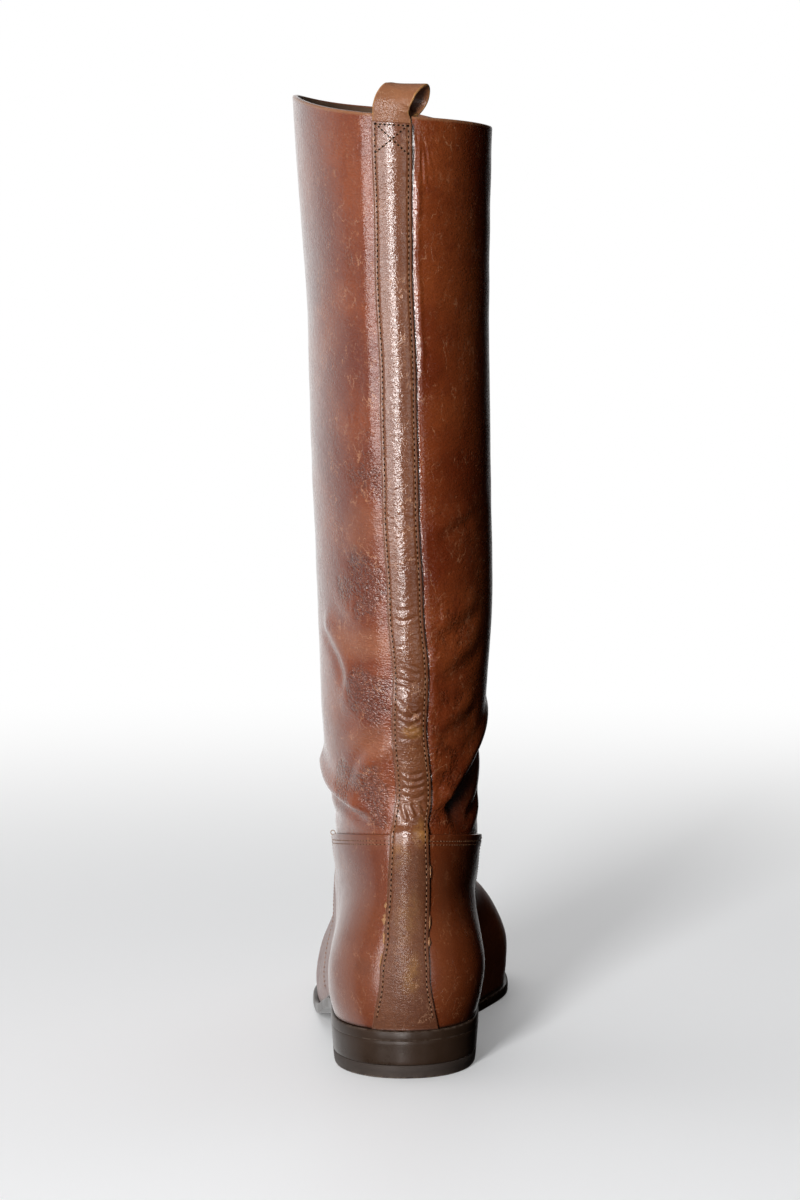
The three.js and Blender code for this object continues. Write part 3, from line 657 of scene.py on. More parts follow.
# Materials.
class Nodes:
    """A short way to write node trees. Without a name it writes into the tree that is given."""

    def __init__(self, name=None, tree=None):
        self.tree = tree
        if name:
            self.material = bpy.data.materials.new(name)
            self.material.use_nodes = True
            self.tree = self.material.node_tree
        self.tree.nodes.clear()
        if name:
            self.out = self.tree.nodes.new("ShaderNodeOutputMaterial")
            self.shader = self.tree.nodes.new("ShaderNodeBsdfPrincipled")
            self.tree.links.new(self.shader.outputs[0], self.out.inputs[0])

    def put(self, socket, value):
        if isinstance(value, bpy.types.NodeSocket):
            self.tree.links.new(value, socket)
        elif value is not None:
            socket.default_value = value

    def shade(self, values):
        for key, value in values.items():
            self.put(self.shader.inputs[key], value)

    def add(self, kind, inputs=None, **settings):
        node = self.tree.nodes.new(kind)
        for key, value in settings.items():
            setattr(node, key, value)
        for key, value in (inputs or {}).items():
            self.put(node.inputs[key], value)
        return node

    def math(self, operation, a, b=None, clamp=False):
        return self.add("ShaderNodeMath", {0: a, 1: b}, operation=operation, use_clamp=clamp).outputs[0]

    def chain(self, operation, first, others):
        for other in others:
            first = self.math(operation, first, other)
        return first

    def times(self, first, *others):
        return self.chain("MULTIPLY", first, others)

    def plus(self, first, *others):
        return self.chain("ADD", first, others)

    def off_middle(self, value, middle=0.5):
        return self.math("SUBTRACT", value, middle)

    def vector(self, operation, inputs):
        return self.add("ShaderNodeVectorMath", inputs, operation=operation).outputs[0]

    def scaled(self, vector, x, y, z):
        return self.vector("MULTIPLY", {0: vector, 1: (x, y, z)})

    def millimetres(self):
        return self.scaled(self.add("ShaderNodeTexCoord").outputs["Object"], 1000, 1000, 1000)

    def noise(self, vector, scale, detail=3, rough=0.5, warp=0.0):
        inputs = {"Vector": vector, "Scale": scale, "Detail": detail, "Roughness": rough, "Distortion": warp}
        return self.add("ShaderNodeTexNoise", inputs).outputs[0]

    def bent(self, vector, scale, size):
        """A vector that wanders by about the given size, to bend other patterns."""
        node = self.add("ShaderNodeTexNoise", {"Vector": vector, "Scale": scale, "Detail": 2})
        centred = self.vector("SUBTRACT", {0: node.outputs["Color"], 1: (0.5, 0.5, 0.5)})
        return self.vector("ADD", {0: vector, 1: self.vector("SCALE", {0: centred, "Scale": size})})

    def cells(self, vector, scale):
        return self.add("ShaderNodeTexVoronoi", {"Vector": vector, "Scale": scale}).outputs["Distance"]

    def ramp(self, value, low, high, to_low=0.0, to_high=1.0):
        inputs = {"Value": value, "From Min": low, "From Max": high, "To Min": to_low, "To Max": to_high}
        return self.add("ShaderNodeMapRange", inputs, interpolation_type="SMOOTHSTEP").outputs[0]

    def mark(self, name):
        return self.add("ShaderNodeAttribute", attribute_name=name).outputs["Fac"]

    def layered(self, colour, *layers):
        """A colour under layers of (share, colour)."""
        for share, over in layers:
            node = self.add("ShaderNodeMix", data_type="RGBA")
            self.put(node.inputs["Factor"], share)
            for socket, value in ((6, colour), (7, over)):
                self.put(node.inputs[socket], (*value, 1) if isinstance(value, tuple) else value)
            colour = node.outputs[2]
        return colour

    def bump(self, height, coat=0.75):
        """Bumps of the given height in mm, and a weaker share of them in the coat over it."""
        for name, strength in (("Normal", 1.0), ("Coat Normal", coat)):
            bumps = self.add("ShaderNodeBump", {"Strength": strength, "Distance": 0.001, "Height": height})
            self.put(self.shader.inputs[name], bumps.outputs[0])


def tinted(colour, share):
    return tuple(share * c for c in colour)


# The middle colour of these three is the dark of painted shade.
OCHRE, PAINTED_SHADE, RAW_EDGE = (0.36, 0.17, 0.045), (0.022, 0.008, 0.005), (0.30, 0.16, 0.08)
WEAK_SPECULAR = 0.18


def leather(name, base, deep, worn, gloss, coat, grain, wrinkle, coat_rough=0.09):
    """Polished leather: cloudy colour, pores, wrinkles, scratches, pebbled patches and painted shade where
    marked.
    """
    n = Nodes(name)
    mm = n.millimetres()
    bent = n.bent(mm, 0.5, 1.6)
    middle = n.noise(mm, 0.13, 5, 0.62)
    ragged = n.times(n.off_middle(n.noise(mm, 0.06, 5, 0.65)), 2.2)
    pebble_share = n.ramp(n.plus(n.mark("pebble"), ragged), 0.3, 0.75)
    pebbles = n.cells(n.scaled(bent, 0.8, 0.8, 1.1), 1.02)
    pores = n.cells(n.scaled(bent, 1, 1, 1.3), 1.15)
    wrinkles = n.noise(n.scaled(bent, 0.3, 0.3, 1.2), 0.62, 3, 0.5, 0.3)
    swell = n.noise(n.scaled(mm, 0.4, 0.4, 1), 0.3, 3, 0.55)

    def scratches(pattern, level, width, patches, low, high):
        """Thin lines along a level of a pattern, in some patches only."""
        away = n.math("ABSOLUTE", n.off_middle(pattern, level))
        return n.times(n.ramp(away, width, 0.0), n.ramp(n.noise(mm, patches, 4, 0.7), low, high))

    scratched = n.math(
        "MAXIMUM",
        scratches(n.noise(n.scaled(mm, 1, 1, 0.6), 0.085, 4, 0.55), 0.5, 0.01, 0.07, 0.48, 0.62),
        scratches(n.noise(n.scaled(bent, 1, 1, 0.5), 0.26, 3, 0.5), 0.48, 0.016, 0.1, 0.5, 0.66),
    )
    patchy = n.ramp(n.noise(mm, 0.45, 3, 0.6), 0.42, 0.62)
    rubbed = n.ramp(n.noise(mm, 0.05, 5, 0.7), 0.45, 0.65, 0.08, 0.4)
    colour = n.layered(
        base,
        (n.ramp(n.noise(mm, 0.022, 3, 0.55), 0.35, 0.68), deep),
        (n.times(n.ramp(middle, 0.45, 0.75), 0.6), deep),
        (n.times(pebble_share, 0.3), tinted(deep, 0.7)),
        (n.times(pebble_share, n.ramp(pebbles, 0.35, 0.75), 0.5), tinted(deep, 0.4)),
        (n.times(pebble_share, n.ramp(pebbles, 0.34, 0.12), patchy, 0.6), worn),
        (n.times(n.ramp(n.noise(mm, 0.9, 5, 0.65), 0.5, 0.74), rubbed), worn),
        (n.times(n.ramp(pores, 0.4, 0.75), 0.16), tinted(deep, 0.4)),
        (n.times(scratched, 0.75), worn),
        (n.times(n.mark("matt"), 0.2), worn),
        (n.times(n.mark("ochre"), n.ramp(n.noise(mm, 0.25, 4, 0.7), 0.3, 0.65)), OCHRE),
        # painted shade, laid wherever the shade mark is set
        (n.times(n.mark("shade"), n.ramp(n.noise(mm, 0.6, 4, 0.7), 0.2, 0.6, 0.6, 1.0)), PAINTED_SHADE),
        (n.mark("edge"), RAW_EDGE),
    )
    rough = n.plus(
        gloss, n.times(n.ramp(middle, 0.35, 0.75), 0.1), n.times(n.mark("matt"), 0.2),
        n.times(n.mark("dull"), 0.22),
    )
    n.shade({
        "Base Color": colour,
        "Roughness": n.math("ADD", rough, n.times(n.mark("edge"), 0.45), clamp=True),
        "Coat Weight": n.ramp(n.mark("dull"), 0.0, 1.0, coat, 0.1 * coat),
        "Coat Roughness": coat_rough, "Coat IOR": 1.55, "Specular IOR Level": WEAK_SPECULAR,
    })
    n.bump(n.plus(
        n.times(n.ramp(n.math("ABSOLUTE", n.off_middle(wrinkles)), 0.0, 0.12), 0.06 * wrinkle),
        n.times(n.off_middle(swell), 0.14 * wrinkle), n.times(n.off_middle(middle), 0.18 * wrinkle),
        n.times(pores, -0.055 * grain), n.times(scratched, -0.05), n.times(pebble_share, pebbles, -0.4),
    ))
    return n.material


def lining(name):
    n = Nodes(name)
    mm = n.millimetres()
    fine = n.noise(mm, 0.8, 5, 0.7)
    colour = n.layered(
        (0.13, 0.075, 0.045), (n.ramp(n.noise(mm, 0.03, 4, 0.6), 0.3, 0.7), (0.09, 0.05, 0.03)),
        (n.times(n.ramp(fine, 0.5, 0.8), 0.4), (0.06, 0.034, 0.02)),
    )
    n.shade({"Base Color": colour, "Roughness": n.ramp(fine, 0.2, 0.8, 0.55, 0.75)})
    n.bump(n.times(n.cells(mm, 1.4), -0.05))
    return n.material


def sole_edge(name, base, other, rough, lines):
    """Waxed or moulded edge with faint level lines."""
    n = Nodes(name)
    mm = n.millimetres()
    streaks = n.noise(n.scaled(mm, 0.12, 0.12, 2.2), 0.9, 4, 0.6)
    broad = n.noise(mm, 0.05, 4, 0.6)
    colour = n.layered(
        base, (n.ramp(broad, 0.3, 0.7), other),
        (n.times(n.ramp(streaks, 0.5, 0.7), lines), tinted(base, 1.7)),
        (n.times(n.mark("edge"), n.ramp(n.noise(mm, 0.3, 4, 0.7), 0.4, 0.6)), (0.16, 0.12, 0.095)),
    )
    n.shade({
        "Base Color": colour, "Roughness": n.ramp(broad, 0.2, 0.8, rough, rough + 0.16),
        "Specular IOR Level": WEAK_SPECULAR,
    })
    fine, uneven = n.noise(mm, 1.6, 4, 0.7), n.noise(mm, 0.1, 2, 0.5)
    n.bump(n.plus(n.times(streaks, 0.004), n.times(fine, 0.025), n.times(uneven, 0.12)))
    return n.material


def thread(name, colour, rough, specular=0.4):
    n = Nodes(name)
    twist = n.noise(n.scaled(n.millimetres(), 1, 1, 3), 2.5, 2, 0.5)
    n.shade({
        "Base Color": n.layered(colour, (n.ramp(twist, 0.35, 0.65), tinted(colour, 0.55))),
        "Roughness": n.ramp(twist, 0.3, 0.7, rough, rough + 0.1), "Specular IOR Level": specular,
    })
    n.bump(n.times(twist, 0.05))
    return n.material


# Leathers: colour, deep and worn colour; roughness, coat, pores, wrinkles and the coat's roughness.
LEATHERS = (
    ("leg", ((0.20, 0.043, 0.011), (0.12, 0.019, 0.005), (0.36, 0.16, 0.08)), (0.22, 0.9, 1.9, 1.1, 0.15)),
    ("foot", ((0.14, 0.032, 0.009), (0.11, 0.020, 0.005), (0.26, 0.10, 0.045)), (0.26, 0.6, 0.8, 0.4, 0.2)),
    ("strip", ((0.155, 0.05, 0.018), (0.11, 0.03, 0.01), (0.36, 0.18, 0.10)), (0.34, 0.85, 1.5, 0.8, 0.17)),
    ("loop", ((0.22, 0.085, 0.036), (0.17, 0.06, 0.025), (0.34, 0.18, 0.10)), (0.4, 0.15, 1.6, 0.6)),
)
leg_leather, foot_leather, strip_leather, loop_leather = (
    leather(name + "_leather", *colours, *looks) for name, colours, looks in LEATHERS
)
lining_leather = lining("lining_leather")
sole_leather = sole_edge("sole_leather", (0.021, 0.011, 0.006), (0.029, 0.016, 0.010), 0.24, 0.12)
heel_rubber = sole_edge("heel_rubber", (0.034, 0.025, 0.021), (0.028, 0.020, 0.016), 0.55, 0.1)
# Needle holes: near-black discs that paint the shade inside the holes.
painted_hole_shade = thread("needle_hole", (0.010, 0.005, 0.003), 0.8, 0.0)
seam_thread = thread("seam_thread", (0.25, 0.12, 0.06), 0.5)
tan_thread = thread("tan_thread", (0.30, 0.16, 0.08), 0.5)

# Marks on the leather as soft spots: middle s and z, half-widths, strength.
PEBBLE_SPOTS = (
    (-18, 212, 17, 20, 0.85),
    (-14, 166, 15, 14, 0.95),
    (-26, 126, 26, 15, 0.85),
    (-18, 255, 22, 30, 0.4),
    (20, 110, 12, 9, 0.6),
    (-12, 115, 8, 12, 0.7),
    (24, 190, 14, 40, 0.35),
    (24, 132, 16, 14, 0.5),
    (110, 120, 40, 20, 0.7),
    (-120, 120, 40, 20, 0.7),
)
MATT_SPOTS = (
    (-18, 188, 22, 8, 1.0),
    (-14, 145, 16, 8, 1.0),
    (-18, 238, 12, 12, 0.7),
    (-26, 103, 34, 5, 0.5),
    (-30, 60, 22, 34, 0.3),
    (-44, 150, 14, 26, 0.5),
    (17, 60, 7, 40, 0.4),
)
# Spots of painted shade, most by the folds over the ankles.
SHADE_SPOTS = (
    (-18, 48, 6, 4, 0.18),
    (34, 116, 14, 4, 0.5),
    (-50, 112, 20, 3, 0.3),
)


def spots(s, z, rows):
    """The strongest of some soft, ragged spots at each point."""
    total = np.zeros(s.shape)
    place = np.stack([s, z], -1)
    ragged = 0.3 * noise(place, 11, 21) + 0.15 * noise(place, 4.5, 22)
    for s0, z0, ds, dz, strength in rows:
        r = np.hypot((s - s0) / ds, (z - z0) / dz) + ragged
        total = np.maximum(total, strength * (1 - smooth((r - 0.4) / 0.9)))
    return total


def recess(s, z):
    """1 in the hollow under the bulge over the medial ankle, where painted shade darkens the leather."""
    share = np.zeros(s.shape)
    near, across, place, run = from_hollow(s, z)
    below = smooth((across + 0.2) / 1.6) * (1 - smooth((across - 8) / 12))
    share[near] = below * smooth(place / 20) * smooth((run - place) / 9)
    return share


def painted_shadow_beside_strip(s, z):
    """Painted shadow in the gap next to the strip's edges: 1 there and 0 away from it."""
    distance = np.abs(s - strip_middle_s(z)) - strip_half(z)
    wide = mix(0.3, 0.5, smooth((z - 100) / 10))
    return bell(np.clip(distance, 0, None), wide) * (distance > -2)


def leather_marks(s, z):
    """Shares from 0 to 1 that the materials read: pebbled, matt, painted shade, dull and raw places."""
    hollow = recess(s, z)
    # Painted shade: the shade spots and the hollow over the medial ankle.
    shade = np.maximum(spots(s, z, SHADE_SPOTS), 0.85 * hollow)
    return {
        "pebble": spots(s, z, PEBBLE_SPOTS),
        "matt": spots(s, z, MATT_SPOTS),
        # painted shadow in the gap beside the back strip
        "shade": np.maximum(shade, 0.8 * painted_shadow_beside_strip(s, z)),
        "dull": np.maximum(0.9 * hollow, 0.6 * smooth((np.abs(s) - 78) / 6) * (z < 100)),
        "edge": np.zeros(s.shape),
    }


# The shaft: outer face, rounded rim, lining.
def dense_angles(near, near_count, far_count):
    """Angles round the boot, dense from -near to near and wider apart beyond."""
    close = np.linspace(-near, near, near_count)
    far = np.linspace(near, 2 * math.pi - near, far_count + 2)[1:-1]
    turned = np.where(far > math.pi, far - 2 * math.pi, far)
    return np.sort(np.concatenate([close, turned]))


def rows_by_height(low, high, count):
    return heel_row(np.linspace(low, high, count))


leg_rows = np.concatenate([np.linspace(LAP_T, SEAM_T, 8)[:-1], rows_by_height(105.6, 410.4, 240)])
rim_drop = np.array([0.016, 0.004, 0, 0, 0, 0.004, 0.016])
rim_offset = -SHAFT_WALL * np.array([0.02, 0.12, 0.3, 0.5, 0.7, 0.88, 0.98])
lining_rows = np.concatenate(
    [rows_by_height(222, 408, 12)[::-1], rows_by_height(107, 219, 56)[::-1], [SEAM_T, LAP_T]]
)
shaft_u = dense_angles(math.radians(64), 194, 96)
shaft_t = np.concatenate([leg_rows, COLLAR_T - rim_drop, lining_rows])
shaft_off = np.concatenate([np.zeros(len(leg_rows)), rim_offset, np.full(len(lining_rows), -SHAFT_WALL)])
points, s, z = leather_point(shaft_u[None, :], shaft_t[:, None], shaft_off[:, None])
marks = leather_marks(s, z)
rim_first, rim_last = len(leg_rows), len(leg_rows) + len(rim_drop)
marks["edge"][rim_first:rim_first + 2] = 0.5
marks["edge"][rim_first + 2:rim_last] = 0.22
add_wall("shaft_leather", points, leg_leather, "shaft", marks, rim_last - 1)


# The foot of the upper: quarters over a vamp, folded top edge, lining.
def column_angle(share, t):
    """Angle of a column of the foot: shares of 0.5 lie on the side seams and 1 at the front."""
    seam = mix(SIDE_SEAM_FOOT, SIDE_SEAM_ANKLE, t / SEAM_T)
    size = np.abs(share)
    return np.sign(share) * np.where(size < 0.5, seam * size * 2, mix(seam, math.pi, size * 2 - 1))


near_seam = 0.5 + np.array([-20, -12, -7, -4, -2.2, -1, 0, 1.2, 3, 7, 14]) / 1000
even = np.concatenate([np.arange(0, 0.48, 0.0034), np.arange(0.52, 1.0, 0.0085)])
half_shares = np.sort(np.concatenate([even, near_seam]))
shares = np.concatenate([-half_shares[1:][::-1], half_shares, [1.0]])
foot_rows = np.concatenate([[0, 0.02, 0.05, 0.1], np.linspace(0.17, 7.93, 124)])
fold_t = SEAM_T + np.array([-0.045, -0.026, -0.012, -0.003, 0.002, 0.0])
fold_share = np.array([1.0, 0.97, 0.86, 0.62, 0.3, 0.0])
under_rows = np.array([SEAM_T - 0.02, SEAM_T - 0.3, LAP_T - 0.03])
inner_rows = np.concatenate([[LAP_T - 0.06], np.linspace(7.1, 0.3, 22), [0.0]])
share_grid = shares[None, :]


def quarter_step(share):
    """How far the quarters stand over the vamp: all behind the side seam, nothing before it."""
    return QUARTER_STEP * (1 - smooth((np.abs(share) - 0.4975) / 0.0028))


outer_t = np.concatenate([foot_rows, fold_t])
outer_share = np.concatenate([np.ones(len(foot_rows)), fold_share])
raised = VAMP_RAISE + quarter_step(share_grid)
outer_off = GAP + (raised - GAP) * outer_share[:, None]
under_off = np.full((len(under_rows), len(shares)), GAP)
inner_off = np.full((len(inner_rows), len(shares)), -UPPER_LINING)
upper_t = np.concatenate([outer_t, under_rows, inner_rows])
upper_off = np.vstack([outer_off, under_off, inner_off])
points, s, z = leather_point(column_angle(share_grid, upper_t[:, None]), upper_t[:, None], upper_off)
marks = leather_marks(s, z)
outer_count = len(outer_t)
marks["edge"][:outer_count] = 0.3 * bell(np.abs(share_grid) - 0.4997, 0.0012)
shade = marks["shade"][:outer_count]
# Painted shadow along the vamp just in front of the quarters' edge.
np.maximum(shade, 0.75 * bell(np.abs(share_grid) - 0.5016, 0.0018), out=shade)
# Painted shade on the lowest rows, where the upper meets the sole.
np.maximum(shade[:4], np.array([0.95, 0.9, 0.7, 0.35])[:, None], out=shade[:4])
# Painted shade on the folded top edge and the rows beyond it, under the shaft's lap.
painted_shade_top_rows = marks["shade"][outer_count - 2:]
np.maximum(painted_shade_top_rows, 0.6, out=painted_shade_top_rows)
add_wall("upper_leather", points, foot_leather, "upper", marks, outer_count)

# The back strip.
STRIP_FOOT_ROW, STITCH_INSET = 1.2, 1.5
strip_edge = np.array([-1.0, -0.995, -0.985, -0.965, -0.93])
strip_x = np.concatenate([strip_edge, np.linspace(-0.89, 0.89, 40), -strip_edge[::-1]])
strip_t = np.concatenate([
    np.linspace(0, STRIP_FOOT_ROW, 14)[:-1],
    rows_by_height(surface(0.0, STRIP_FOOT_ROW)[..., 2], COLLAR_HEIGHT - STRIP_TOP_DROP, 880),
])


def strip_surface(x_share, t, lift, rough=True):
    """Points of the strip: x_share from -1 to 1 across it, lift in mm above its base."""
    x_share, t, lift = np.broadcast_arrays(x_share, t, lift)
    z0 = surface(np.zeros(t.shape), t)[..., 2]
    half = strip_half(z0)
    across = x_share * half
    u = angle_at_x(strip_middle(z0) + across, t)
    point, normal = surface_and_normal(u, t)
    s, z = flat(u, t)
    relief = leg_relief(s, z) * calm(t, z)
    if rough:
        crown = (1 - x_share ** 2) * smooth((z0 - 40) / 60)
        groove = 0.16 * bell(np.abs(across) - half + STITCH_INSET, 0.5)
        creases = add_creases(across, z0, strip_creases, np.zeros(t.shape))
        relief += (crown - groove) * (lift > STRIP_THICKNESS * 0.3) + creases * (lift > STRIP_THICKNESS * 0.6)
    moved = point + normal * (strip_stand_off(z0) + lift + relief)[..., None]
    return grounded(moved, t), normal, across, z0


edge_round = np.interp(np.abs(strip_x), [0.9, 0.965, 0.985, 0.995, 1.0], [1.0, 0.97, 0.86, 0.66, 0.4])
under_x = np.array([1.0, 0.99, 0.6, 0.0, -0.6, -0.99, -1.0])
under_lift = np.array([0.12, 0.0, 0.0, 0.0, 0.0, 0.0, 0.12])
ring_x = np.concatenate([strip_x, under_x])
ring_lift = STRIP_THICKNESS * np.concatenate([edge_round, under_lift])
points, _, across, z0 = strip_surface(ring_x[None, :], strip_t[:, None], ring_lift[None, :])
at_edge = strip_half(z0) - np.abs(across) < 0.12
marks = {
    "edge": np.where(at_edge, 0.8, 0.0) * (0.6 + 0.4 * noise_along(z0, 2, 7, 5)),
    # darker towards the bottom below the ankle seam, and painted shade on the lowest rows where the strip
    # meets the sole
    "shade": np.maximum(0.4 * smooth((104 - z0) / 10), np.where(strip_t[:, None] < 0.06, 0.9, 0.0)),
    "matt": 0.1 * smooth((100 - z0) / 14),
    "dull": 0.85 * smooth((106 - z0) / 8),
    "ochre": np.zeros(z0.shape),
}
# Worn ochre spots of the strip: mm from its middle, height, half-widths, strength.
for x0, spot_z, dx, dz, strength in (
    (2, 46, 4.5, 11, 0.5), (0, 70, 5, 14, 0.3), (4, 106, 3.5, 7, 0.6), (1, 151, 5, 4, 0.5),
    (-3, 96, 4, 8, 0.3),
):
    r = np.hypot((across - x0) / dx, (z0 - spot_z) / dz)
    marks["ochre"] = np.maximum(marks["ochre"], strength * (1 - smooth((r - 0.3) / 0.9)))
faces = tube_faces(*z0.shape)
add_piece("back_strip_leather", points, faces, [strip_leather], "oiled_leather", ["back_strip"], marks)


# The pull loop.
def loop_ring(x_share, lift_share):
    """Rows of the strap from its outer leg over the top to its inner leg."""
    outer_face, inner_face = GAP + LOOP_THICKNESS, -SHAFT_WALL - GAP

    def leg(z, low, high):
        t = np.full(x_share.shape, float(heel_row(z)))
        point, normal = surface_and_normal(angle_at_x(strip_middle(z) + x_share * LOOP_WIDTH / 2, t), t)
        return point + normal * mix(low, high, lift_share)[..., None]

    heights = np.linspace(COLLAR_HEIGHT - LOOP_LEG, COLLAR_HEIGHT - 1.5, 16)
    collar_t = np.array([float(COLLAR_T)])
    start = surface(angle_at_x(np.array([strip_middle(COLLAR_HEIGHT)]), collar_t), collar_t)[0]
    place = np.linspace(0, len(LOOP["in"]) - 1, 79)
    course = {name: through_values(column, place) for name, column in LOOP.items()}
    centres = start - (0, GAP + LOOP_THICKNESS / 2, 0) + np.stack(
        [LOOP_SIDE_SHIFT * course["shift"], LOOP_DEPTH * course["in"], LOOP_RISE * course["up"]], -1
    )
    heading = unit(np.gradient(centres, axis=0))
    yaw = LOOP_YAW * course["yaw"]
    across = np.stack([np.cos(yaw), -np.sin(yaw), 0 * yaw], -1)
    across = unit(across - heading * (across * heading).sum(1, keepdims=True))
    sides = (x_share * LOOP_WIDTH / 2)[None, :, None] * across[:, None]
    lifts = ((lift_share - 0.5) * LOOP_THICKNESS)[None, :, None] * unit(np.cross(across, heading))[:, None]
    return np.concatenate([
        [leg(z, GAP, outer_face) for z in heights],
        centres[:, None] + sides + lifts,
        [leg(z, inner_face, inner_face - LOOP_THICKNESS) for z in heights[::-1]],
    ])


loop_out = np.concatenate([[-1, -0.99, -0.965, -0.92], np.linspace(-0.84, 0.84, 22), [0.92, 0.965, 0.99, 1]])
loop_lift = np.concatenate([[0.6, 0.85, 0.97, 1], np.ones(22), [1, 0.97, 0.85, 0.6]])
ring_x = np.concatenate([loop_out, loop_out[::-1]])
ring_lift = np.concatenate([loop_lift, 1 - loop_lift[::-1]])
points = loop_ring(ring_x, ring_lift)
edge_band = np.broadcast_to((np.abs(ring_x) > 0.955).astype(float), points.shape[:2])
marks = {"edge": edge_band * 0.3, "ochre": edge_band * 1.2, "matt": np.full(points.shape[:2], 0.35)}
faces = tube_faces(*points.shape[:2])
add_piece("pull_loop_leather", points, faces, [loop_leather], "oiled_leather", ["pull_loop"], marks)


# The bottom.
def plan_loop(margin, count=288):
    """The feather line seen from above, widened by a margin."""
    turn = np.linspace(0, 2 * math.pi, count, endpoint=False)
    u = np.where(turn <= math.pi, -turn, 2 * math.pi - turn)
    plan = sections(u)[0][..., :2]
    heading = unit(np.roll(plan, -1, 0) - np.roll(plan, 1, 0))
    return plan + np.stack([-heading[:, 1], heading[:, 0]], -1) * margin


def heel_plan(taper):
    """The heel's plan: the sole's outline as far as the breast, which is cut straight."""
    whole = plan_loop(OUTSOLE_MARGIN - taper, 480)
    breast = HEEL_LENGTH - taper
    inside = whole[:, 1] < breast - 0.6
    half = len(whole) // 2
    lateral, medial = whole[:half][inside[:half]], whole[half:][inside[half:]]
    beyond_l, beyond_m = whole[len(lateral)], whole[len(whole) - len(medial) - 1]

    def corner(a, b):
        return a + (b - a) * (breast - a[1]) / (b[1] - a[1])

    front = np.linspace(corner(lateral[-1], beyond_l), corner(medial[0], beyond_m), 24)
    return np.vstack([lateral, front, medial])


def heel_ring(taper, count=320):
    """The heel's plan as evenly spread points, starting where the plan starts."""
    plan = heel_plan(taper)
    ring = np.vstack([plan, plan[:1]])
    run = np.concatenate([[0], np.cumsum(np.linalg.norm(np.diff(ring, axis=0), axis=1))])
    at = np.linspace(0, run[-1], count, endpoint=False)
    return np.column_stack([np.interp(at, run, ring[:, k]) for k in (0, 1)])


def bottom_piece(name, node, material, slot, rows):
    """A block from rows of (plan, height as a function of y, edge mark). Its two end faces are ladders."""
    count = len(rows[0][0])
    points = np.array([np.column_stack([plan, height(plan[:, 1])]) for plan, height, _ in rows])
    faces = loop_faces(len(rows), count, False, True).tolist()
    last = (len(rows) - 1) * count
    for i in range(count // 2):
        a, b, c, d = i, i + 1, count - i - 1, (count - i) % count
        ladder = [a, b, c] if a == d else [a, b, d] if b == c else [a, b, c, d]
        faces += [ladder[::-1], [last + k for k in ladder]]
    marks = {"edge": np.repeat([mark for _, _, mark in rows], count)}
    add_piece(name, points, faces, [material], slot, [node], marks)


def level(z):
    return lambda y: np.full(y.shape, float(z))


def above_sole(rise):
    return lambda y: sole_bottom(y) + rise


# The outsole's edge: margin beyond the usual one, rise, wear.
EDGE_PROFILE = (
    (-2.0, 0.0, 0.0), (-0.6, 0.0, 0.1), (-0.28, 0.1, 0.4), (-0.08, 0.34, 0.2), (0, 0.7, 0.0),
    (0.06, 1.6, 0.0), (0.08, 2.4, 0.0), (0.05, 3.3, 0.0), (-0.02, 3.9, 0.1), (-0.16, 4.22, 0.35),
    (-0.42, 4.42, 0.3), (-0.8, 4.5, 0.0), (-2.0, 4.5, 0.0),
)


def sole_loop(extra, rise):
    """The sole's outline, with its lower edge left nearly square over the heel."""
    rounded, square = plan_loop(OUTSOLE_MARGIN + extra), plan_loop(OUTSOLE_MARGIN - 0.05)
    over_heel = (rounded[:, 1] < HEEL_LENGTH) * (rise < 0.6) * (extra > -1)
    return mix(rounded, square, over_heel[:, None] * 0.85)


def stack_taper(height):
    return mix(HEEL_STACK_TAPER, 0, (height - TOP_LIFT_THICKNESS) / HEEL_STACK_HEIGHT)


bottom_piece(
    "outsole_leather", "outsole", sole_leather, "edge_leather",
    [(sole_loop(extra, rise), above_sole(rise), wear) for extra, rise, wear in EDGE_PROFILE],
)
# The heel stack's rows as taper and height. Those between its foot and its top lie in three layers.
LAYER_ROWS = (0.08, 0.5, 0.95, 1, 1.08, 1.5, 1.95, 2, 2.08, 2.5, 2.95)
layer_heights = [TOP_LIFT_THICKNESS + HEEL_STACK_HEIGHT * row / 3 for row in LAYER_ROWS]
stack_profile = [
    (HEEL_STACK_TAPER + 0.12, TOP_LIFT_THICKNESS), (HEEL_STACK_TAPER + 0.02, TOP_LIFT_THICKNESS + 0.15),
    *((stack_taper(height), height) for height in layer_heights), (0.06, HEEL_RISE),
]
bottom_piece(
    "heel_stack_leather", "heel_stack", sole_leather, "edge_leather",
    [(heel_ring(taper), level(height), 0.0) for taper, height in stack_profile],
)
full_taper = HEEL_STACK_TAPER + TOP_LIFT_TAPER
lift_top = TOP_LIFT_THICKNESS - GAP / 2
lift_profile = (
    (full_taper + 0.9, 0.0, 0.5), (full_taper + 0.4, 0.12, 0.9), (full_taper + 0.1, 0.45, 0.6),
    (full_taper, 0.9, 0.1), (mix(full_taper, HEEL_STACK_TAPER, 0.5), 3.0, 0.0),
    (HEEL_STACK_TAPER + 0.02, lift_top - 0.3, 0.0), (HEEL_STACK_TAPER + 0.2, lift_top - 0.05, 0.1),
    (HEEL_STACK_TAPER + 0.5, lift_top, 0.0),
)
bottom_piece(
    "top_lift_rubber", "top_lift", heel_rubber, "heel_rubber",
    [(heel_ring(taper), level(height), wear) for taper, height, wear in lift_profile],
)
insole_object = bpy.data.objects["insole"]
insole_object.data.materials.clear()
insole_object.data.materials.append(lining_leather)


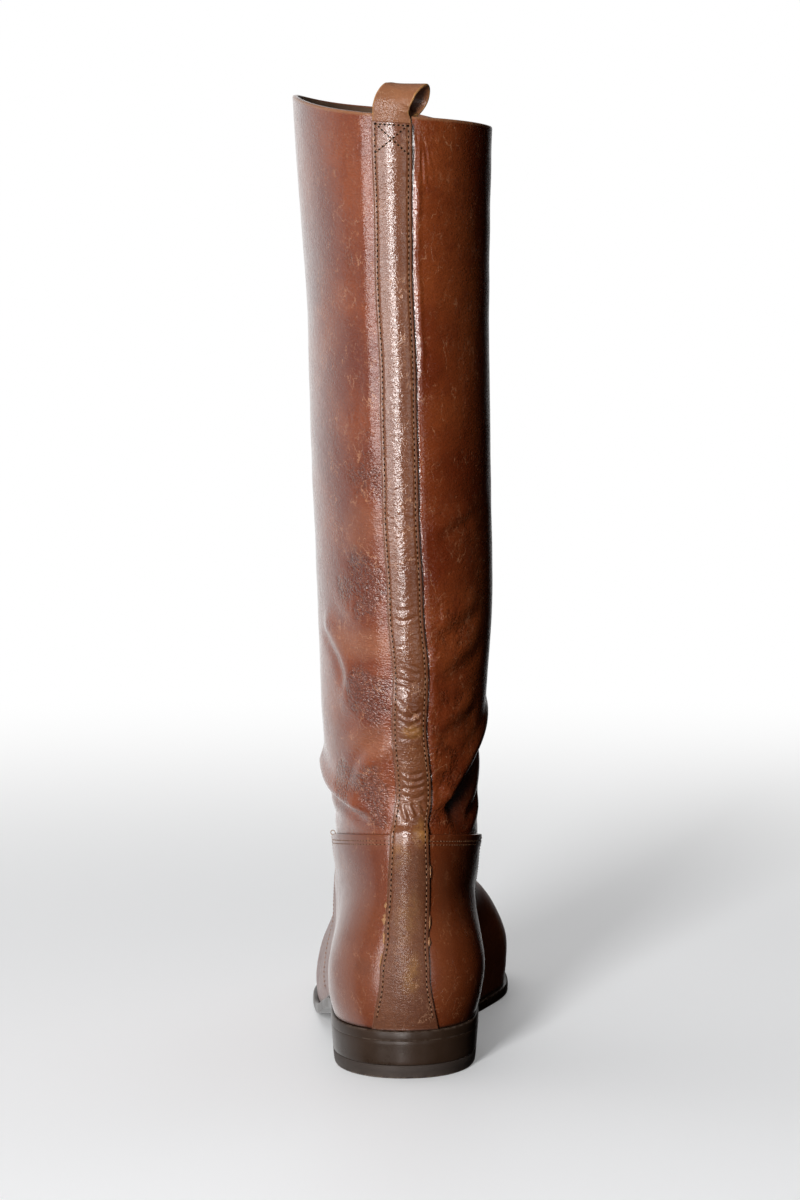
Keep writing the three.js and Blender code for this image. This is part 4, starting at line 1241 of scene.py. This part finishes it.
# Stitches.
class Stitches:
    """Short sunk threads and the needle holes between them, gathered in two meshes. The holes are flat dark
    discs of painted shade.
    """

    SIDES, HOLE_SIDES, SHY_SHARE = 6, 8, 0.19

    def __init__(self):
        self.threads, self.thread_faces, self.holes, self.hole_faces = [], [], [], []
        self.thread_count = self.hole_count = 0

    def hole(self, at, normal, along, radius):
        side = np.cross(normal, along)
        turn = np.linspace(0, 2 * math.pi, self.HOLE_SIDES, endpoint=False)[:, None]
        ring = at + normal * 0.03 + radius * (np.cos(turn) * along * 1.15 + np.sin(turn) * side * 0.85)
        self.holes.append(np.vstack([ring, at + normal * 0.07]))
        first, count = self.hole_count, self.HOLE_SIDES
        self.hole_faces += [[first + k, first + (k + 1) % count, first + count] for k in range(count)]
        self.hole_count += count + 1

    def thread(self, a, b, normal, radius, rise):
        side = np.cross(normal, unit(b - a))
        turn = np.linspace(0, 2 * math.pi, self.SIDES, endpoint=False)[:, None]
        ring = radius * (np.cos(turn) * normal + np.sin(turn) * side)
        half = [(0, -0.22, 0.5), (0.12, 0, 0.9), (0.35, rise, 1)]
        profile = half + [(1 - f, up, size) for f, up, size in half[::-1]]
        self.threads += [mix(a, b, f) + normal * up + size * ring for f, up, size in profile]
        self.thread_faces += tube_faces(len(profile), self.SIDES, self.thread_count, True)
        self.thread_count += len(profile) * self.SIDES

    def row(self, points, normals, pitch=2.3, radius=0.25, rise=0.14, hole=0.36):
        """Stitches along a dense path, each shy of its needle holes by a share of the pitch."""
        run = np.concatenate([[0], np.cumsum(np.linalg.norm(np.diff(points, axis=0), axis=1))])
        count = max(1, int(round(run[-1] / pitch)))
        knots, pitch = np.linspace(0, run[-1], count + 1, retstep=True)
        shy = pitch * self.SHY_SHARE

        def at(where):
            place, up = ([np.interp(where, run, v[:, k]) for k in range(3)] for v in (points, normals))
            return np.array(place), unit(np.array(up))

        for start, end in zip(knots[:-1] + shy, knots[1:] - shy):
            (a, up_a), (b, up_b) = at(start), at(end)
            self.thread(a, b, (up_a + up_b) / 2, radius, rise)
        for knot in knots:
            place, up = at(knot)
            along = at(min(knot + 0.3, run[-1]))[0] - at(max(knot - 0.3, 0))[0]
            self.hole(place, up, unit(along), hole)

    def make(self, name):
        add_piece(name, np.vstack(self.threads), self.thread_faces, [seam_thread], "oiled_leather")
        add_piece(name + "_holes", np.vstack(self.holes), self.hole_faces, [painted_hole_shade], "oiled_leather")


def strip_path(across, heights):
    """Points and normals on the strip's face at mm from its middle and heights."""
    path, normals, _, _ = strip_surface(
        across / strip_half(heights), heel_row(heights), np.full(heights.shape, STRIP_THICKNESS)
    )
    return path, normals


# The rows along the strip, and the box and cross at its top.
BOX_TOP, BOX_LOW, BOX_HALF = COLLAR_HEIGHT - 4.2, COLLAR_HEIGHT - 16, STRIP_TOP_WIDTH / 2 - STITCH_INSET
strip_rows, cross, ankle, sides = Stitches(), Stitches(), Stitches(), Stitches()
for side in (-1, 1):
    heights = np.linspace(28, BOX_TOP, 900)
    strip_rows.row(*strip_path(side * (strip_half(heights) - STITCH_INSET), heights), hole=0.5)
strip_rows.make("strip_stitches")
for start, low in ((-1, BOX_TOP), (-1, BOX_LOW), (1, BOX_LOW)):
    across = np.linspace(start, -start, 60) * 0.94 * BOX_HALF
    cross.row(*strip_path(across, np.linspace(BOX_TOP, low, 60)), pitch=1.9, hole=0.48)
cross.make("cross_stitches")

# Two rows under the ankle seam, left out under the strip.
turn = np.linspace(-math.pi, math.pi, 1400)
for drop in (0.32, 0.5):
    t = np.full(turn.shape, SEAM_T - drop)
    offset = VAMP_RAISE + QUARTER_STEP * (np.abs(turn) < SIDE_SEAM_ANKLE)
    path, s, z = leather_point(turn, t, offset)
    _, normals = surface_and_normal(turn, t)
    clear = np.abs(s - strip_middle_s(z)) > strip_half(z) + 0.6
    for part in (turn < 0, turn > 0):
        ankle.row(path[clear & part], normals[clear & part], pitch=2.0, hole=0.26, radius=0.17, rise=0.08)
ankle.make("ankle_stitches")

t = np.linspace(0.5, SEAM_T - 0.1, 260)
for side in (-1, 1):
    u = column_angle(np.full(t.shape, side * 0.4935), t)
    path, _, _ = leather_point(u, t, np.full(t.shape, VAMP_RAISE + QUARTER_STEP))
    sides.row(path, surface_and_normal(u, t)[1], pitch=2.1, hole=0.28, radius=0.18, rise=0.08)
sides.make("side_stitches")


# The loose thread at the lateral end of the ankle seam.
def tube(path, radius, sides=8):
    heading = unit(np.gradient(path, axis=0))
    across = unit(np.cross(heading, (0.3, 0.2, 0.93)))
    away = np.cross(heading, across)
    turn = np.linspace(0, 2 * math.pi, sides, endpoint=False)[None, :, None]
    rings = path[:, None] + radius * (np.cos(turn) * across[:, None] + np.sin(turn) * away[:, None])
    return rings, tube_faces(len(path), sides, 0, True)


def on_leather(s_mm, z_mm, lift):
    """A point of the leather near the given s and height, lifted off it."""
    t = heel_row(z_mm)
    for _ in range(3):
        u = np.interp(s_mm, flat(FLAT_U, np.full(FLAT_U.shape, float(t)))[0], FLAT_U)
        t = row_at_height(u, z_mm)
    return leather_point(np.array([u]), np.array([float(t)]), np.array([lift]))[0][0]


THREAD_START, THREAD_TURN = (-60.6, 97.0, 1.2), 5.6
f = np.linspace(0, 1, 40)
loop_path = on_leather(*THREAD_START) + np.stack([
    -1.2 * np.sin(f * THREAD_TURN) - 0.9 * f, 0.5 * f - 0.7, 1.25 * (1 - np.cos(f * THREAD_TURN)) - 0.6 * f,
], -1)
add_piece("loose_thread", *tube(loop_path, 0.17), [tan_thread], "oiled_leather")

# Frayed nicks along the strip's edges at the heel: side, lowest and highest height, width.
NICKS = (
    (-1, 66, 71, 1.5), (-1, 58, 64, 1.1), (-1, 49, 55, 0.9), (-1, 73, 76, 1.0), (1, 57, 61, 1.0),
    (1, 64, 70, 0.7), (1, 86, 92, 0.5),
)
NICK_POINTS, NICK_ROWS = 26, 6
for number, (side, low, high, width) in enumerate(NICKS):
    z_run = np.linspace(low, high, NICK_POINTS)
    half, t_run = strip_half(z_run), heel_row(z_run)
    bow = np.sin(np.linspace(0, math.pi, NICK_POINTS)) ** 0.6
    jag = 1 + 0.5 * noise(np.stack([z_run, z_run * 0 + number], -1), 0.9, 40 + number)
    f = np.linspace(0, 1, NICK_ROWS)[:, None]
    share = side * (half + (f - 0.35) * width * bow * jag) / half
    lift = STRIP_THICKNESS + 0.25 * bow * np.sin(f * math.pi) - 0.35 * f ** 2 + 0.12 * jag
    flap = strip_surface(share, t_run[None, :], lift, False)[0]
    points = np.concatenate([flap, (flap + (0, 0.25, 0))[::-1]], 0)
    marks = {"edge": np.full(points.shape[:2], 0.45), "ochre": np.full(points.shape[:2], 0.6)}
    faces = loop_faces(2 * NICK_ROWS, NICK_POINTS, True, False)
    add_piece("edge_nick_%d" % (number + 1), points, faces, [loop_leather], "oiled_leather", (), marks)


# Floor, light and camera.
FLOOR_SIDES, FLOOR_RADII = 96, (0.2, 0.5, 1.0, 1.45)


def stage_floor():
    """A round of pale paper that the camera alone sees, fading to white at its rim."""
    ring = np.linspace(0, 2 * math.pi, FLOOR_SIDES, endpoint=False)
    points = [(0.0, 0.0, 0.0)] + [(r * math.cos(a), r * math.sin(a), 0.0) for r in FLOOR_RADII for a in ring]
    faces = [[0, 1 + k, 1 + (k + 1) % FLOOR_SIDES] for k in range(FLOOR_SIDES)]
    faces += loop_faces(len(FLOOR_RADII), FLOOR_SIDES, False, True, 1)[:, ::-1].tolist()
    mesh = bpy.data.meshes.new("floor")
    mesh.from_pydata(points, [], faces)
    floor = bpy.data.objects.new("floor", mesh)
    bpy.context.scene.collection.objects.link(floor)
    n = Nodes("floor_paper")
    n.shade({
        "Base Color": (0.74, 0.745, 0.755, 1), "Emission Color": (1, 1, 1, 1), "Emission Strength": 0.14,
        "Roughness": 0.55,
    })
    place = n.add("ShaderNodeTexCoord").outputs["Object"]
    distance = n.add("ShaderNodeVectorMath", {0: place}, operation="LENGTH").outputs["Value"]
    camera_ray = n.add("ShaderNodeLightPath").outputs["Is Camera Ray"]
    glow = n.add("ShaderNodeEmission", {"Color": (1, 1, 1, 1), "Strength": 1.0}).outputs[0]
    share = n.times(n.ramp(distance, 0.3, 1.2), camera_ray)
    both = n.add("ShaderNodeMixShader", {0: share, 1: n.shader.outputs[0], 2: glow})
    n.put(n.out.inputs[0], both.outputs[0])
    mesh.materials.append(n.material)
    floor.visible_glossy = floor.visible_diffuse = floor.visible_shadow = False


# Brightness of the studio round the boot. Each window gives the degrees from the photograph's side at
# which it starts, is full, is still full and ends, positive to the right, and its level.
WALLS = ((-400, -399, -92, -80, 1.0), (166, 180, 399, 400, 0.9), (-95, -70, 12, 45, 0.05))
FRONT_FLOOR = (-85, -55, -25, 10, 0.33)


def studio_world():
    """Walls that reflections and soft light come from. The camera sees plain white."""
    world = bpy.data.worlds.new("studio")
    world.use_nodes = True
    bpy.context.scene.world = world
    n = Nodes(tree=world.node_tree)
    x, y, z = n.add("ShaderNodeSeparateXYZ", {0: n.add("ShaderNodeTexCoord").outputs["Generated"]}).outputs
    angle = n.times(n.math("ARCTAN2", x, n.times(y, -1.0)), 180 / math.pi)

    def window(start, full, last, end, level):
        return n.times(n.ramp(angle, start, full), n.ramp(angle, end, last), level)

    walls = n.times(n.plus(*(window(*row) for row in WALLS)), n.ramp(z, 0.5, 0.08, 0.25, 1.0))
    level = n.math("MAXIMUM", walls, n.ramp(z, 0.6, 0.9, 0.0, 0.3))
    level = n.plus(level, n.times(window(*FRONT_FLOOR), n.ramp(z, -0.08, -0.2)))
    camera_ray = n.add("ShaderNodeLightPath").outputs["Is Camera Ray"]
    strength = n.plus(n.times(level, n.math("SUBTRACT", 1.0, camera_ray)), camera_ray)
    background = n.add("ShaderNodeBackground", {"Color": (1, 1, 1, 1), "Strength": strength})
    n.add("ShaderNodeOutputWorld", {0: background.outputs[0]})


def aimed(thing, place, aim):
    thing.location = place
    thing.rotation_euler = (Vector(aim) - Vector(place)).to_track_quat("-Z", "Y").to_euler()
    bpy.context.scene.collection.objects.link(thing)
    return thing


def area_light(name, place, aim, width, height, watts):
    data = bpy.data.lights.new(name, "AREA")
    data.shape = "RECTANGLE"
    data.size, data.size_y, data.energy = width, height, watts
    light = aimed(bpy.data.objects.new(name, data), place, aim)
    light.visible_camera = False
    return light


def soft_box(name, degrees, width, level, edge):
    """A tall panel that only reflections see, bright in its middle and fading over its side edges."""
    distance, low, high = 3.0, -0.95, 1.5
    middle = (low + high) / 2
    turn = math.radians(degrees)
    wide = 2 * distance * math.tan(math.radians(width / 2))
    place = (distance * math.sin(turn), -distance * math.cos(turn), middle)
    light = area_light(name, place, (0, 0, middle), wide, high - low, 4 * wide * (high - low))
    light.visible_diffuse = False
    light.data.use_nodes = True
    n = Nodes(tree=light.data.node_tree)
    panel = n.add("ShaderNodeNewGeometry").outputs["Parametric"]
    u, v, _ = n.add("ShaderNodeSeparateXYZ", {0: panel}).outputs
    ends = n.times(n.ramp(v, 0.0, 0.15), n.ramp(v, 1.0, 0.8))
    strength = n.times(n.ramp(u, 0.0, edge), n.ramp(u, 1.0, 1 - edge), ends, level)
    glow = n.add("ShaderNodeEmission", {"Color": (1, 1, 1, 1), "Strength": strength})
    n.add("ShaderNodeOutputLight", {0: glow.outputs[0]})


FOCAL_PIXELS, FRAME_PIXELS, SENSOR = 4989.6, 1200, 36


def photo_camera():
    """The camera at the photograph's angle."""
    data = bpy.data.cameras.new("photo_camera")
    data.sensor_width, data.sensor_fit = SENSOR, "AUTO"
    data.lens = SENSOR * FOCAL_PIXELS / FRAME_PIXELS
    data.clip_start, data.clip_end = 0.05, 60
    camera = bpy.data.objects.new("photo_camera", data)
    bpy.context.scene.camera = aimed(camera, (0.046, -2.134, 0.452), (-0.002, 0.0, 0.203))


stage_floor()
studio_world()
# Lights that no reflection shows: place, aim, width, height, watts.
for row in (
    ("overhead", (-0.3, 0.35, 1.9), (0, 0.05, 0.1), 1.4, 1.4, 11),
    ("key", (-0.68, -2.6, 0.9), (0, 0, 0.2), 0.4, 1.2, 112),
    ("side_fill", (-2.4, -0.9, 0.9), (0, 0, 0.2), 0.8, 1.2, 3),
    ("back_right", (1.5, 2.2, 0.9), (0, 0, 0.2), 1.0, 1.4, 5),
):
    area_light(*row).visible_glossy = False
# Soft boxes: degrees from the photograph's side, degrees wide, brightness, share of the soft edge.
for row in (
    ("box_far_left", -68, 36, 0.45, 0.3),
    ("box_left", -38, 20, 7.5, 0.45),
    ("box_between", -22, 18, 5.5, 0.45),
    ("box_middle", -3.5, 12.5, 31.0, 0.45),
    ("box_right", 38, 16, 2.6, 0.45),
):
    soft_box(*row)
photo_camera()
bpy.context.scene.view_settings.view_transform = "Standard"
